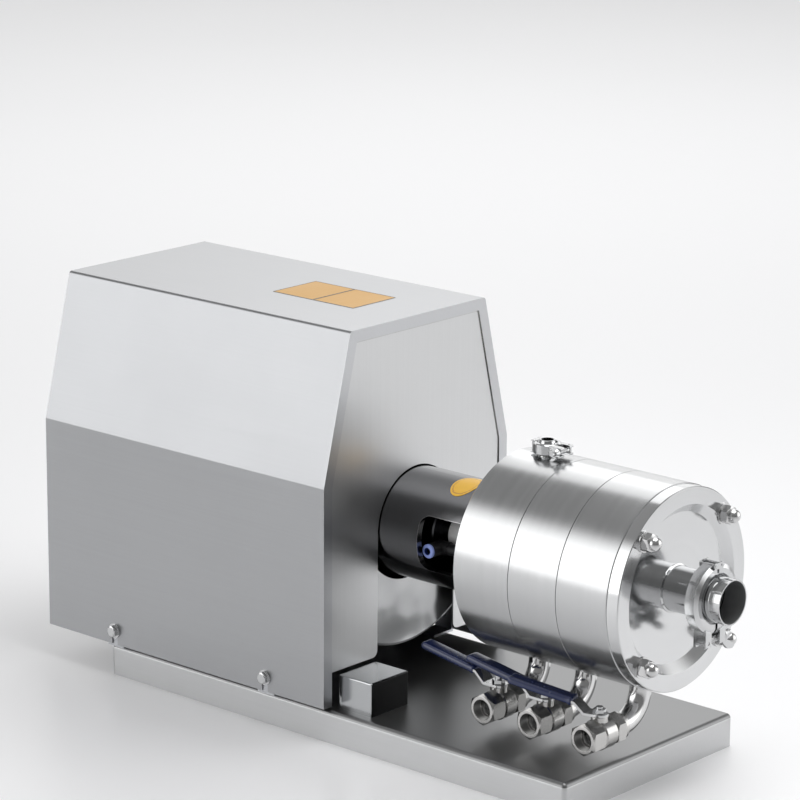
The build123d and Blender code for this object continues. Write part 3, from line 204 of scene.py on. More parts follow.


# %% [markdown]
# ## Brushed sheet
# The hood and the pan are folded from sheet that was ground with a belt, so fine scratches run one way and
# the reflections smear across them. Noise squeezed in two directions and stretched in the third gives the
# scratches. A slow cloud under it gives the patches that handling and cleaning leave. From a place on one
# axis onwards the steel can take another tone, and that tone is painted light and shade: a painted highlight
# on the hood's front lips, and painted shade and reflection on the pan's deck and the cable cover's end face.


# %% Brushed sheet finish
ALONG_GRAIN, ACROSS_GRAIN = 4.0, 420.0
# The ramp below sets how sharply the painted light and shade step in.
PAINTED_LIGHT_RAMP = 3000.0


def brushed_sheet(name, colour, roughness, along, scratch=0.05, patch=0.05, strength=0.08, painted_light_step=None):
    material, start, shader = blank(name, colour)
    point, axes = place(start)
    stretch = tuple(ALONG_GRAIN if axis == along else ACROSS_GRAIN for axis in "XYZ")
    scratches = clouds(start, point, 1.0, 4.0, 0.65, stretch)
    fine = clouds(start, point, 3.1, 2.0, 0.6, stretch)
    patches = clouds(start, point, 7.0, 3.0)
    tone = (scratches - 0.5) * 0.5 + (patches - 0.5) * 0.35 + 0.5
    dark, light = scaled(colour, 0.90), scaled(colour, 1.07)
    shade = tone.clamped().mix(dark, light)
    # From a place on one axis onwards the colour is scaled by a gain: painted light and shade, not a finish.
    if painted_light_step:
        axis, edge, gain = painted_light_step
        painted_zone = ((axes["XYZ".index(axis)] - edge) * PAINTED_LIGHT_RAMP).clamped()
        shade = painted_zone.mix(shade, tone.clamped().mix(scaled(dark, gain), scaled(light, gain)))
    connect(shade, shader, "Base Color")
    connect(roughness + (scratches - 0.5) * scratch * 2 + (patches - 0.5) * patch * 2, shader, "Roughness")
    bumped(start, shader, scratches * 0.7 + fine * 0.3, strength, 0.0002)
    return material


# %% [markdown]
# ## Turned steel
# The barrel, the lantern and the cover come off a lathe, which leaves rings a few hundredths of a millimetre
# apart. Distance along the axis plus distance from it changes steadily on a tube and on a face alike, so
# one-dimensional noise of that sum gives rings on both. The bore of a tube isn't polished, so inside a given
# radius the finish is duller. Thin sheet spun to a dish stays slightly wavy, which a slow bump shows.


# %% Turned finish
RING_DEPTH, BROAD_RINGS = 0.05, 0.06
# The pale grey below is the colour of the painted highlight on edges.
EDGE_HIGHLIGHT_GREY = (0.55, 0.55, 0.55)
BORE_DULLING, BORE_RAMP = 0.36, 4000.0


def turned_steel(name, colour, roughness, rings, axis="X", centre=(0.0, shaft_z), strength=0.06, edge_highlight_radius=0.0,
                 bore=0.0, waves=0.0):
    material, start, shader = blank(name, colour)
    point, axes = place(start)
    along = "XYZ".index(axis)
    across = [axes[other] for other in range(3) if other != along]
    first, second = across[0] - centre[0], across[1] - centre[1]
    radius = (first * first + second * second) ** 0.5
    distance = axes[along] + radius
    coarse = streaks(start, distance * rings, 4.0)
    broad = streaks(start, distance * rings * BROAD_RINGS, 2.0)
    patches = clouds(start, point, 11.0, 3.0)
    tone = (coarse - 0.5) * 0.4 + (broad - 0.5) * 0.35 + (patches - 0.5) * 0.3 + 0.5
    shade = tone.clamped().mix(scaled(colour, 0.88), scaled(colour, 1.08))
    # The edges are mixed towards a pale grey: a painted highlight standing in for light on the chamfers.
    if edge_highlight_radius:
        shade = painted_edge_highlight(start, edge_highlight_radius).mix(shade, EDGE_HIGHLIGHT_GREY)
    connect(shade, shader, "Base Color")
    gloss = roughness + (coarse - 0.5) * RING_DEPTH + (broad - 0.5) * RING_DEPTH + (patches - 0.5) * 0.06
    if bore:
        gloss = gloss + ((bore - radius) * BORE_RAMP).clamped() * BORE_DULLING
    connect(gloss, shader, "Roughness")
    under = None
    if waves:
        slow = clouds(start, point, 16.0, 1.0)
        under = start.node("Bump", inputs={"Strength": 1.0, "Distance": waves, "Height": slow})
    bumped(start, shader, coarse * 0.7 + broad * 0.3, strength, 0.0001, under=under)
    return material


# %% [markdown]
# ## Cast, plated, painted and moulded finishes
# The other parts have no direction to their grain. A cast valve is peppered with fine bumps, enamel has a
# soft orange-peel skin, and dipped vinyl has slow waves. One recipe covers them, with the size of the
# grain, its depth and the shader's gloss as its settings.


# %% Grained finish
def grained(name, colour, roughness, metallic, grain, depth, vary=0.08, coat=0.0, edge=0.0):
    material, start, shader = blank(name, colour, metallic, coat)
    point, axes = place(start)
    fine = clouds(start, point, grain, 3.0, 0.6)
    speckle = clouds(start, point, grain * 3.3, 2.0, 0.5)
    slow = clouds(start, point, 14.0, 3.0)
    tone = (slow - 0.5) * 0.9 + (fine - 0.5) * 0.5 + 0.5
    connect(tone.clamped().mix(scaled(colour, 1 - vary), scaled(colour, 1 + vary)), shader, "Base Color")
    connect((roughness + (slow - 0.5) * 0.08 + (speckle - 0.5) * 0.04).clamped(), shader, "Roughness")
    bumped(start, shader, fine * 0.6 + speckle * 0.4, depth, 0.0003, edge)
    return material


# %% [markdown]
# ## The finishes of this machine
# Stainless steel is nearly neutral. What tells the parts apart is how rough each one is: the plate in the
# nose is almost a mirror, the hood is satin, and the castings are dull. One table for each recipe keeps the
# numbers side by side.


# %% Sheet finishes
finishes = {}


def make_finishes(recipe, table):
    for name, (*values, settings) in table.items():
        finishes[name] = recipe(name, *values, **settings)
    print(recipe.__name__, "finishes:", len(table))


SHEETS = {
    # colour, roughness, way of the scratches, other settings
    # The hood's front lips are made 1.42 times brighter: a painted highlight standing in for the light they
    # catch.
    "hood_satin": (
        (0.375, 0.38, 0.39), 0.34, "X", dict(strength=0.05, painted_light_step=("X", hood_high.x - 0.0005, 1.42)),
    ),
    "panel_satin": ((0.60, 0.605, 0.61), 0.35, "Z", dict(strength=0.03)),
    # The pan's deck is made 0.40 times as bright as its walls: painted shade and reflection of the dark parts
    # above it.
    "pan_satin": (
        (0.56, 0.565, 0.57), 0.38, "X",
        dict(scratch=0.02, patch=0.03, strength=0.02, painted_light_step=("Z", pan_high.z - 0.0048, 0.40)),
    ),
    "folded_steel": ((0.50, 0.51, 0.53), 0.42, "Y", {}),
    # The cable cover's end face facing +X is made near black: painted shade and reflection, not a finish.
    "box_bright": ((0.46, 0.47, 0.48), 0.20, "Z", dict(strength=0.05, painted_light_step=("X", box_high.x - 0.0008, 0.04))),
    "plate_gold": ((0.43, 0.235, 0.040), 0.38, "Y", dict(scratch=0.10, patch=0.10, strength=0.12)),
}
make_finishes(brushed_sheet, SHEETS)

# %% Turned finishes
outlet_centre = (middle("outlet_nozzle").x, 0.0)
TURNED = {
    # colour, roughness, rings to the metre, other settings
    "barrel_turned": ((0.52, 0.525, 0.53), 0.22, 1800.0, {}),
    "cover_turned": ((0.64, 0.645, 0.65), 0.13, 1200.0, {}),
    # The lantern's edges get a painted highlight.
    "lantern_dark": ((0.15, 0.15, 0.155), 0.17, 1400.0, dict(edge_highlight_radius=0.0011)),
    "flange_dish": ((0.40, 0.405, 0.41), 0.25, 900.0, dict(strength=0.008, waves=0.012)),
    # shaft_dark is near black: painted shade standing in for the shadow inside the lantern.
    "shaft_dark": ((0.10, 0.10, 0.105), 0.30, 2200.0, {}),
    "shaft_ground": ((0.62, 0.63, 0.64), 0.20, 2200.0, {}),
    "nose_polished": ((0.55, 0.555, 0.56), 0.09, 900.0, dict(bore=0.0248)),
    "outlet_polished": ((0.72, 0.73, 0.74), 0.12, 900.0, dict(axis="Z", centre=outlet_centre)),
    "core_varnish": ((0.16, 0.15, 0.15), 0.45, 3000.0, dict(strength=0.2)),
    "winding_enamel": ((0.48, 0.20, 0.08), 0.32, 900.0, dict(strength=0.5)),
}
make_finishes(turned_steel, TURNED)

# %% Grained finishes
GRAINED = {
    # colour, roughness, metal, grains to the metre, depth of the grain, other settings
    # thread_dark is darker than the valve metal it is cut in: painted shade inside the valve mouths.
    "thread_dark": ((0.20, 0.20, 0.195), 0.30, 1.0, 420.0, 0.2, {}),
    # collar_white is near white: painted light, so that the collar reads bright in the lantern's shade.
    "collar_white": ((0.93, 0.93, 0.92), 0.30, 0.0, 300.0, 0.08, dict(coat=0.3)),
    # seal_bright is paler than the other steel: painted light, so that the seal housing reads bright inside
    # the lantern's shade.
    "seal_bright": ((0.88, 0.88, 0.87), 0.42, 1.0, 300.0, 0.10, {}),
    "clamp_cast": ((0.58, 0.585, 0.59), 0.13, 1.0, 260.0, 0.18, dict(edge=0.0005)),
    "valve_cast": ((0.50, 0.495, 0.485), 0.19, 1.0, 420.0, 0.35, dict(edge=0.0006)),
    "pipe_polished": ((0.60, 0.60, 0.60), 0.10, 1.0, 120.0, 0.08, dict(edge=0.0004)),
    "bolt_bright": ((0.55, 0.555, 0.56), 0.18, 1.0, 300.0, 0.12, dict(edge=0.0004)),
    "zinc_plate": ((0.52, 0.53, 0.56), 0.40, 1.0, 240.0, 0.2, dict(vary=0.12)),
    "motor_enamel": ((0.16, 0.18, 0.21), 0.42, 0.0, 520.0, 0.25, dict(coat=0.15)),
    "seal_rubber": ((0.022, 0.022, 0.024), 0.55, 0.0, 600.0, 0.25, {}),
    "seal_ceramic": ((0.78, 0.76, 0.72), 0.22, 0.0, 200.0, 0.05, {}),
    "black_moulding": ((0.020, 0.020, 0.022), 0.34, 0.0, 700.0, 0.2, {}),
    "blue_moulding": ((0.36, 0.46, 0.95), 0.30, 0.0, 400.0, 0.08, {}),
    "navy_moulding": ((0.012, 0.03, 0.16), 0.30, 0.0, 400.0, 0.08, {}),
    "plate_rule": ((0.10, 0.085, 0.06), 0.45, 0.0, 300.0, 0.05, {}),
    "sticker_yellow": ((0.66, 0.37, 0.012), 0.38, 0.0, 160.0, 0.10, dict(vary=0.16, coat=0.2)),
    "sticker_rule": ((0.42, 0.20, 0.02), 0.40, 0.0, 160.0, 0.06, dict(coat=0.3)),
    "weld_bright": ((0.70, 0.70, 0.69), 0.20, 1.0, 700.0, 0.15, {}),
    "navy_vinyl": ((0.012, 0.022, 0.085), 0.26, 0.0, 60.0, 0.35, dict(vary=0.25, coat=0.4)),
}
make_finishes(grained, GRAINED)

# %% [markdown]
# ## Dress the CAD nodes
# A node whose shape is right keeps its mesh and only gets a finish. The table below names the nodes of
# each finish.

# %% Hand out the finishes
dress = {
    "hood_satin": ["hood_shell"],
    "panel_satin": ["hood_front_panel", "hood_rear_panel"],
    "pan_satin": ["base_pan"],
    "folded_steel": ["base_stiffeners", "motor_rails", "hood_brackets"],
    "box_bright": ["cable_cover"],
    "barrel_turned": ["rear_housing", "middle_housing", "front_housing"],
    "cover_turned": ["front_cover"],
    "lantern_dark": ["lantern"],
    "flange_dish": ["flange_cover"],
    "shaft_dark": ["pump_shaft"],
    "seal_bright": ["seal_housing"],
    "shaft_ground": ["motor_shaft", "stage_rotors", "stage_stators", "shaft_spacers"],
    "nose_polished": ["inlet_nozzle", "loose_stubs"],
    "outlet_polished": ["outlet_nozzle"],
    "clamp_cast": ["inlet_clamp", "outlet_clamp", "inlet_wing_nut", "outlet_wing_nut"],
    "valve_cast": ["valve_bodies"],
    "pipe_polished": ["drain_pipes", "cap_nuts"],
    "bolt_bright": ["hood_bolts", "tie_studs", "inlet_swing_bolt", "outlet_swing_bolt"]
    + [f"valve_stem_{number}" for number in (1, 2, 3)]
    + [f"valve_lever_{number}" for number in (1, 2, 3)],
    "zinc_plate": ["motor_bolts", "motor_bearings"],
    "motor_enamel": ["motor_frame", "motor_front_shield", "motor_rear_shield", "fan_cowl", "terminal_box"],
    "core_varnish": ["rotor_core", "stator_core"],
    "winding_enamel": ["stator_windings"],
    "seal_rubber": ["joint_seals", "seal_ring"],
    "seal_ceramic": ["seal_seat"],
    "black_moulding": ["motor_fan", "flush_elbow", "flush_nipple"],
    "blue_moulding": ["flush_collar"],
    "navy_vinyl": [f"lever_grip_{number}" for number in (1, 2, 3)],
}
for finish, names in dress.items():
    for name in names:
        nodes[name].data.materials.clear()
        nodes[name].data.materials.append(finishes[finish])
bare = sorted(set(nodes) - {name for names in dress.values() for name in names})
print("nodes without a finish:", bare)

# %% [markdown]
# ## Modelling the small pieces
# Everything below starts as a simple bmesh shape and is worked with operators. One helper finishes each
# piece: it merges doubles, points the faces outwards, smooths all but the sharp edges, gives the finish and
# ties the piece to the body that carries it.

# %% Finish a piece


def finished(name, shape, finish, body="machine", stands_for=(), sharp=34):
    bmesh.ops.remove_doubles(shape, verts=shape.verts, dist=1e-7)
    bmesh.ops.recalc_face_normals(shape, faces=shape.faces)
    mesh = bpy.data.meshes.new(name)
    shape.to_mesh(mesh)
    shape.free()
    mesh.shade_smooth()
    mesh.set_sharp_from_angle(angle=radians(sharp))
    for each in (finish,) if isinstance(finish, str) else finish:
        mesh.materials.append(finishes[each])
    piece = bpy.data.objects.new(name, mesh)
    scene.collection.objects.link(piece)
    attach(piece, body)
    if stands_for:
        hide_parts(*stands_for)
    print(name, "faces:", len(mesh.polygons))
    return piece


def outline(shape, points, closed=True):
    """Vertices and edges of an outline, ready to spin."""
    corners = [shape.verts.new(point) for point in points]
    runs = list(zip(corners, corners[1:])) + ([(corners[-1], corners[0])] if closed else [])
    return corners + [shape.edges.new(run) for run in runs]


def frame_along(centre, along, across=None):
    """Matrix that puts a shape's Z along a direction, with its X near the across direction."""
    z = Vector(along).normalized()
    y = z.cross(Vector(across) if across else z.orthogonal()).normalized()
    return Matrix.Translation(Vector(centre)) @ Matrix((y.cross(z), y, z)).transposed().to_4x4()


# %% [markdown]
# ## Bare plates on the hood
# Two gold plates lie side by side on the hood's top, each with a thin dark rule round its edge. They are
# thin enough to be stickers, so each is a flat slab with rounded corners, an inset face for the rule and
# a second inset, dropped a little, for the gold field. They carry no words.

# %% Plates
plate_size = Vector((63.0, 74.0, 0.3)) * MM
plate_middles = [Vector((-165.6, 6.0)) * MM, Vector((-101.9, 6.0)) * MM]
plate_corner, rule_width, field_drop = 0.0012, 0.0011, 0.0001
for number, spot in enumerate(plate_middles, start=1):
    plate = bmesh.new()
    bmesh.ops.create_cube(plate, size=1.0)
    bmesh.ops.scale(plate, vec=plate_size, verts=plate.verts)
    rises = {edge: abs(edge.verts[0].co.z - edge.verts[1].co.z) for edge in plate.edges}
    upright = [edge for edge, rise in rises.items() if rise > plate_size.z / 2]
    bmesh.ops.bevel(
        plate, geom=upright, offset=plate_corner, segments=4, profile=0.5, affect="EDGES", material=-1
    )
    top = max(plate.faces, key=lambda face: face.calc_center_median().z)
    for face in plate.faces:
        face.material_index = 1
    bmesh.ops.inset_region(plate, faces=[top], thickness=rule_width, depth=0.0)
    bmesh.ops.inset_region(plate, faces=[top], thickness=field_drop, depth=-field_drop)
    top.material_index = 0
    bmesh.ops.translate(plate, verts=plate.verts, vec=(spot.x, spot.y, hood_high.z + plate_size.z / 2))
    finished(f"gold_plate_{number}", plate, ("plate_gold", "plate_rule"))

# %% [markdown]
# ## Oval sticker on the lantern
# The yellow sticker follows the tube. A fine grid is rounded into a disc, so that it has enough rows to
# bend, then given its thickness, and each point is wrapped round the tube by its own angle.

# %% Sticker
lantern_r = 0.0655
sticker_x, sticker_turn = 0.0893, radians(-13.2)
sticker_half_length, sticker_half_wrap, sticker_thick, sticker_lift = 0.0162, 0.0228, 0.0003, 0.00002
oval_rule_inner, oval_rule_outer = 0.80, 0.88
sticker = bmesh.new()
bmesh.ops.create_grid(sticker, x_segments=28, y_segments=28, size=1.0)
for vert in sticker.verts:
    x, y = vert.co.x, vert.co.y
    vert.co = (x * sqrt(1 - y * y / 2), y * sqrt(1 - x * x / 2), 0)
for face in sticker.faces:
    reach = face.calc_center_median().length
    face.material_index = 1 if oval_rule_inner < reach < oval_rule_outer else 0
walls = bmesh.ops.extrude_face_region(sticker, geom=sticker.faces[:])
lifted = [item for item in walls["geom"] if isinstance(item, bmesh.types.BMVert)]
bmesh.ops.translate(sticker, verts=lifted, vec=(0, 0, 1))
for vert in sticker.verts:
    turn = sticker_turn + vert.co.y * sticker_half_wrap / lantern_r
    reach = lantern_r + sticker_lift + vert.co.z * sticker_thick
    along = sticker_x + vert.co.x * sticker_half_length
    vert.co = (along, reach * sin(turn), shaft_z + reach * cos(turn))
finished("yellow_sticker", sticker, ("sticker_yellow", "sticker_rule"))

# %% [markdown]
# ## Welds
# A hand-welded joint between pipes is a row of overlapping drops. A small circle spun round the joint gives
# the bead, and a ripple that swells and shrinks it as it goes round gives the drops. A slower ripple makes
# it uneven, each ring in its own way. Where a pipe meets the curved barrel, each point also drops or rises
# to the barrel's surface.

# %% Weld beads
BEAD_SIDES, STEPS_PER_DROP = 10, 4
DROP_SWELL, UNEVEN_SWELL, UNEVEN_WAVES, RING_SHIFT = 0.16, 0.05, 5, 900


def weld(shape, centre, along, ring_r, bead_r, drops, saddle):
    """Rippled bead round an axis; saddle is +1 on top of the barrel, -1 under it and 0 elsewhere."""
    place_it = frame_along(centre, along)
    angles = [2 * pi * side / BEAD_SIDES for side in range(BEAD_SIDES)]
    rim = [place_it @ Vector((ring_r + bead_r * cos(angle), 0, bead_r * sin(angle))) for angle in angles]
    geom = outline(shape, rim)
    steps = drops * STEPS_PER_DROP
    bmesh.ops.spin(shape, geom=geom, cent=centre, axis=along, angle=2 * pi, steps=steps, use_merge=True)
    back = place_it.inverted()
    for vert in shape.verts:
        local = back @ vert.co
        around = Vector((local.x, local.y, 0)).normalized() * ring_r
        turn = atan2(local.y, local.x)
        uneven = sin(turn * UNEVEN_WAVES + ring_r * RING_SHIFT)
        swell = 1.0 + DROP_SWELL * cos(turn * drops) + UNEVEN_SWELL * uneven
        local = around + (local - around) * swell
        vert.co = place_it @ local
        if saddle:
            drop = barrel_r - sqrt(barrel_r**2 - vert.co.y**2)
            vert.co.z -= saddle * drop


drain_x = [0.184, 0.251, 0.327]
drain_y, valve_back, valve_y, valve_z, drain_weld_r = 0.005, -0.0310, -0.068, 0.069, 0.0129
barrel_top, barrel_foot = shaft_z + barrel_r + 0.0001, shaft_z - barrel_r - 0.0001
weld_spots = [
    # name, place, axis, radius of the ring, radius of the bead, drops, saddle
    ("inlet_root_weld", (cover_low.x + 0.0052, 0, shaft_z), (1, 0, 0), 0.0262, 0.0012, 44, 0),
    ("outlet_weld", (0.193, 0, barrel_top), (0, 0, 1), 0.0089, 0.0009, 20, 1),
]
for number, x in enumerate(drain_x, start=1):
    weld_spots += [
        (f"drain_weld_{number}", (x, drain_y, barrel_foot), (0, 0, -1), drain_weld_r, 0.0010, 26, -1),
        (f"socket_weld_{number}", (x, valve_back, valve_z), (0, 1, 0), drain_weld_r, 0.0009, 26, 0),
    ]
for name, spot, along, ring_r, bead_r, drops, saddle in weld_spots:
    bead = bmesh.new()
    weld(bead, spot, along, ring_r, bead_r, drops, saddle)
    finished(name, bead, "weld_bright", sharp=60)

# %% [markdown]
# ## Threads
# A screw thread is a three-sided ridge that climbs as it turns. Spin can climb while it turns, so the
# ridge's section is spun through many turns with a small step along the axis each time, and its two ends
# are filled.

# %% Thread ridges


def thread(shape, centre, along, wall_r, crest_r, pitch, length, steps=32):
    """Ridge from the wall to the crest, inside or outside the wall, that climbs a length."""
    place_it = frame_along(centre, along)
    root = wall_r + (0.0002 if crest_r < wall_r else -0.0002)
    section = [(root, -0.46), (crest_r, -0.06), (crest_r, 0.06), (root, 0.46)]
    geom = outline(shape, [place_it @ Vector((radius, 0, share * pitch)) for radius, share in section])
    turns = length / pitch
    climb = Vector(along).normalized() * (pitch / steps)
    steps = int(steps * turns)
    bmesh.ops.spin(shape, geom=geom, cent=centre, axis=along, dvec=climb, angle=2 * pi * turns, steps=steps)
    bmesh.ops.holes_fill(shape, edges=shape.edges, sides=4)


inlet_bolt_at = Vector((0.422, -0.006, shaft_z - 0.04804))
outlet_bolt_at = Vector((0.21697, 0.003, shaft_z + barrel_r + 0.009))
onwards, outwards = Vector((0, 1, 0)), Vector((0, -1, 0))
ridges = [
    # name, body, finish, then what the thread needs: start, axis, wall, crest, pitch, length and steps
    (
        f"mouth_thread_{number}", "machine", "thread_dark",
        (Vector((x, -0.0962, valve_z)), onwards, 0.01206, 0.0112, 0.00181, 0.0112),
    )
    for number, x in enumerate(drain_x, start=1)
]
ridges += [
    (
        "inlet_bolt_thread", "inlet_bolt", "bolt_bright",
        (inlet_bolt_at, onwards, 0.0040, 0.00432, 0.00125, 0.0395, 20),
    ),
    (
        "outlet_bolt_thread", "outlet_bolt", "bolt_bright",
        (outlet_bolt_at, outwards, 0.0025, 0.00272, 0.0008, 0.024, 16),
    ),
]
for name, body, finish, sizes in ridges:
    ridge = bmesh.new()
    thread(ridge, *sizes)
    finished(name, ridge, finish, body=body, sharp=50)

# %% [markdown]
# ## Joint lines of the barrel
# The housings meet in shallow V grooves, and each shows as a thin dark line. A narrow dark band is spun
# into the bottom of each: it is partly the seal ring's edge and partly painted shade in the groove.

# %% Joint lines
line_half, line_depth = 0.00038, 0.0008
joints = [(0.233, barrel_r - 0.00022), (0.300, barrel_r - 0.00022), (0.369, cover_r - 0.00005)]
for number, (x, high) in enumerate(joints, start=1):
    band = bmesh.new()
    start, end, low = x - line_half, x + line_half, high - line_depth
    section = [(start, low), (end, low), (end, high), (start, high)]
    geom = outline(band, [shaft + Vector((place, 0, radius)) for place, radius in section])
    bmesh.ops.spin(band, geom=geom, cent=shaft, axis=(1, 0, 0), angle=2 * pi, steps=120, use_merge=True)
    finished(f"joint_line_{number}", band, "seal_rubber")

# %% [markdown]
# ## Seam of the front panel
# The front panel lies behind the hood's folded lip and is joined to it by a thin ground seam, which runs up
# one side, over the top and down the other. The lip follows the hood's outline, drawn in by its width.

# %% Seam
lip_width, lip_thick, seam_leg = 0.014, 0.0015, 0.0014
hood_half, hood_top_half, hood_break, seam_foot = hood_high.y, 0.1165, 0.302, 0.084


def drawn_in(points, width):
    """The same open outline, moved inwards by a width. The points run up one side and down the other."""
    moved = []
    for index, point in enumerate(points):
        before = (point - points[index - 1]).normalized() if index else None
        after = (points[index + 1] - point).normalized() if index + 1 < len(points) else None
        sides = [Vector((run.y, -run.x)) for run in (before, after) if run]
        spread = 1 + sides[0].dot(sides[1]) if len(sides) == 2 else 1
        moved.append(point + sum(sides, Vector((0, 0))) * width / spread)
    return moved


near_side = [(-hood_half, seam_foot), (-hood_half, hood_break), (-hood_top_half, hood_high.z)]
far_side = [(-y, z) for y, z in reversed(near_side)]
outer = [Vector(point) for point in near_side + far_side]
seam = bmesh.new()
panel_x = hood_high.x - lip_thick
rows = []
for edge, inside in zip(drawn_in(outer, lip_width), drawn_in(outer, lip_width + seam_leg)):
    corners = [(panel_x, *edge), (panel_x + seam_leg, *edge), (panel_x, *inside)]
    rows.append([seam.verts.new(corner) for corner in corners])
for first, second in zip(rows, rows[1:]):
    for side in range(3):
        corner = (side + 1) % 3
        seam.faces.new((first[side], first[corner], second[corner], second[side]))
seam.faces.new(rows[0])
seam.faces.new(rows[-1])
finished("panel_seam", seam, "weld_bright")

# %% [markdown]
# ## Dipped grips
# The levers' grips are vinyl, dipped in a thick layer, so their edges are round and soft, the closed end is
# domed and the open end has a rolled lip. A block with its edges bevelled wide gives the soft section.
# Cuts across it give rows that can swell slightly in the middle and at the lip.

# %% Grips
grip_long, grip_wide, grip_thick, grip_round, grip_rows = 0.0805, 0.0191, 0.0088, 0.0039, 24
lip_place, lip_reach, lip_swell, belly_swell = 0.035, 0.045, 0.16, 0.03
lever_tilt, lever_turns = radians(9.0), (0.0, 0.0, 14.0)
grip_root_back, grip_root_z = 0.029, 0.1030
for number, (x, turn) in enumerate(zip(drain_x, lever_turns), start=1):
    grip = bmesh.new()
    bmesh.ops.create_cube(grip, size=1.0)
    bmesh.ops.scale(grip, vec=(grip_wide, grip_thick, grip_long), verts=grip.verts)
    bmesh.ops.bevel(
        grip, geom=grip.edges[:], offset=grip_round, segments=6, profile=0.5, affect="EDGES", material=-1
    )
    bmesh.ops.translate(grip, verts=grip.verts, vec=(0, 0, grip_long / 2))
    for cut in range(1, grip_rows):
        whole = grip.verts[:] + grip.edges[:] + grip.faces[:]
        spot = (0, 0, grip_long * cut / grip_rows)
        bmesh.ops.bisect_plane(grip, geom=whole, plane_co=spot, plane_no=(0, 0, 1))
    for vert in grip.verts:
        share = vert.co.z / grip_long
        belly = 1.0 + belly_swell * sin(pi * share)
        lip = 1.0 + lip_swell * max(0.0, 1 - abs(share - lip_place) / lip_reach)
        vert.co.x *= belly * (1 + (lip - 1) * 0.5)
        vert.co.y *= belly * lip
    tilt_axis = Vector((-cos(lever_tilt), 0, sin(lever_tilt)))
    root = Vector((x - grip_root_back, valve_y, grip_root_z))
    bmesh.ops.transform(grip, matrix=frame_along(root, tilt_axis, (0, 1, 0)), verts=grip.verts)
    stem = Vector((x, valve_y, 0))
    bmesh.ops.rotate(grip, cent=stem, matrix=Matrix.Rotation(radians(turn), 3, "Z"), verts=grip.verts)
    stands_for = (f"lever_grip_{number}",)
    finished(f"vinyl_grip_{number}", grip, "navy_vinyl", f"valve_{number}", stands_for, sharp=60)

# %% [markdown]
# ## Collar on the shaft
# A glazed collar is set on the shaft behind the seal, and shows through the lantern's window. Its near-white
# colour is painted light, set pale so that it reads bright in the lantern's shade. It turns with the rotor
# and clears the hose fitting beside it.

# %% Collar
collar_start, collar_end = 0.0680, 0.1060
collar_inner, collar_outer, collar_groove, groove_half, collar_ease = 0.0176, 0.0225, 0.0215, 0.0010, 0.0008
collar_half, collar_middle = (collar_end - collar_start) / 2, (collar_start + collar_end) / 2
half_section = [
    (collar_half, collar_inner), (collar_half, collar_outer - collar_ease),
    (collar_half - collar_ease, collar_outer), (groove_half, collar_outer), (groove_half, collar_groove),
]
section = [(-x, radius) for x, radius in half_section] + half_section[::-1]
collar = bmesh.new()
geom = outline(collar, [shaft + Vector((collar_middle + x, 0, radius)) for x, radius in section])
bmesh.ops.spin(collar, geom=geom, cent=shaft, axis=(1, 0, 0), angle=2 * pi, steps=72, use_merge=True)
finished("shaft_collar", collar, "collar_white", body="rotor")

# %% [markdown]
# ## Hose socket
# The push-in socket is lined with a dark blue sleeve that the release collar slides on.

# %% Sleeve
sleeve = bmesh.new()
socket = Vector((0.0645, -0.0497, shaft_z - 0.0119))
sleeve_outer, sleeve_lip, sleeve_inner, sleeve_depth, lip_depth = 0.00428, 0.00400, 0.00385, 0.0040, 0.0030
section = [
    (sleeve_outer, 0.0), (sleeve_outer, -sleeve_depth), (sleeve_lip, -sleeve_depth),
    (sleeve_inner, -lip_depth), (sleeve_inner, 0.0),
]
geom = outline(sleeve, [socket + Vector((radius, depth, 0)) for radius, depth in section])
bmesh.ops.spin(sleeve, geom=geom, cent=socket, axis=(0, 1, 0), angle=2 * pi, steps=40, use_merge=True)
finished("socket_sleeve", sleeve, "navy_moulding")

# %% [markdown]
# ## Floor, light and camera
# The machine is photographed on a pale floor in a bright room. Steel shows what is around it, so the room
# is dim and even, with three soft windows near the horizon for the broad faces and the barrel to mirror.
# One soft lamp hangs over the machine, and a wide one lights the floor behind it.


# %% Floor
FLOOR_HALF = 14.0


def pale_floor():
    material, start, shader = blank("pale_floor", (0.86, 0.86, 0.87), metallic=0.0)
    point, axes = place(start)
    slow = clouds(start, point, 1.3, 3.0)
    connect(slow.mix((0.84, 0.84, 0.85), (0.88, 0.88, 0.89)), shader, "Base Color")
    connect(0.32 + (slow - 0.5) * 0.1, shader, "Roughness")
    mesh = bpy.data.meshes.new("studio_floor")
    shape = bmesh.new()
    bmesh.ops.create_grid(shape, x_segments=2, y_segments=2, size=FLOOR_HALF)
    shape.to_mesh(mesh)
    shape.free()
    floor = bpy.data.objects.new("studio_floor", mesh)
    scene.collection.objects.link(floor)
    mesh.materials.append(material)


pale_floor()
print("floor:", 2 * FLOOR_HALF, "m wide")


# %% Room and lights
WINDOWS = [
    # direction, cosine where it fades out, cosine where it is full, strength
    ((-0.62, -0.76, 0.16), 0.76, 0.97, 2.15),
    ((-0.62, 0.76, 0.16), 0.83, 0.97, 0.95),
    ((0.66, 0.74, 0.10), 0.72, 0.96, 1.90),
]


def smooth_step(value, start, end, low, high):
    """Goes smoothly from low to high as a value goes from start to end."""
    inputs = {0: value, 1: start, 2: end, 3: low, 4: high}
    return value.node("MapRange", {"interpolation_type": "SMOOTHSTEP"}, inputs)


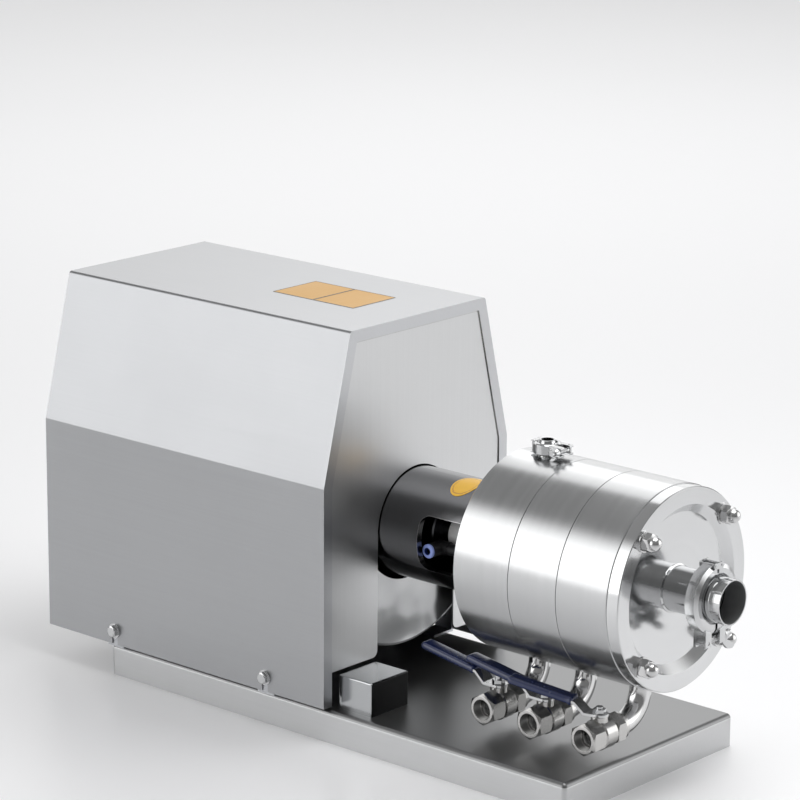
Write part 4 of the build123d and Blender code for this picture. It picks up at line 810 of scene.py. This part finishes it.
def room():
    world = bpy.data.worlds.new("bright_room")
    world.use_nodes = True
    scene.world = world
    start = Sock(world.node_tree)
    direction = start.node("TexCoord", output=0)
    light = smooth_step(direction.along((0, 0, 1)), 0.30, 0.85, 0.24, 0.34)
    for towards, edge, full, strength in WINDOWS:
        near = direction.along(Vector(towards).normalized())
        light = light + smooth_step(near, edge, full, 0.0, strength)
    background = world.node_tree.nodes["Background"]
    start.tree.links.new(light.socket, background.inputs["Color"])
    background.inputs["Strength"].default_value = 1.0


def soft_light(name, spot, aim, size, power):
    light = bpy.data.lights.new(name, "AREA")
    light.shape = "RECTANGLE"
    light.size, light.size_y = size
    light.energy = power
    lamp = bpy.data.objects.new(name, light)
    lamp.location = spot
    lamp.rotation_mode = "QUATERNION"
    lamp.rotation_quaternion = (Vector(aim) - Vector(spot)).to_track_quat("-Z", "Y")
    scene.collection.objects.link(lamp)


room()
soft_light("top_soft", (0.35, 0.15, 1.55), (0.1, 0.1, 0.0), (1.3, 1.1), 15)
soft_light("back_wash", (-2.0, 2.6, 2.4), (-2.0, 2.4, 0.0), (3.2, 3.2), 38)
print("windows:", len(WINDOWS), "lamps:", len(bpy.data.lights))


# %% [markdown]
# ## The camera
# The viewpoint was solved from straight edges of the machine: the camera stands about four metres away,
# turned 41 degrees from the side and 15 degrees above, with a long lens.

# %% Camera
view_turn, view_lift, view_roll = radians(41.29), radians(14.76), radians(0.40)
view_distance, view_left, view_rise = 3.984, 0.01877, 0.3624
focal_pixels, picture_pixels, sensor = 3397, 800, 36.0
back = Vector((sin(view_turn) * cos(view_lift), -cos(view_turn) * cos(view_lift), sin(view_lift)))
right = (-back).cross(Vector((0, 0, 1))).normalized()
up = right.cross(-back).normalized()
rolled_right = right * cos(view_roll) + up * sin(view_roll)
rolled_up = up * cos(view_roll) - right * sin(view_roll)
camera_data = bpy.data.cameras.new("camera")
camera_data.sensor_width = sensor
camera_data.lens = focal_pixels * sensor / picture_pixels
camera = bpy.data.objects.new("camera", camera_data)
hood_front = Vector((hood_high.x, 0, 0))
camera.location = hood_front + back * view_distance - rolled_right * view_left + rolled_up * view_rise
camera.rotation_mode = "QUATERNION"
turn = Matrix((rolled_right, rolled_up, back)).transposed()
camera.rotation_quaternion = turn.to_quaternion()
camera_data.clip_end = 60.0
scene.collection.objects.link(camera)
scene.camera = camera
scene.view_settings.view_transform = "Standard"
print("camera at", [round(value, 3) for value in camera.location])
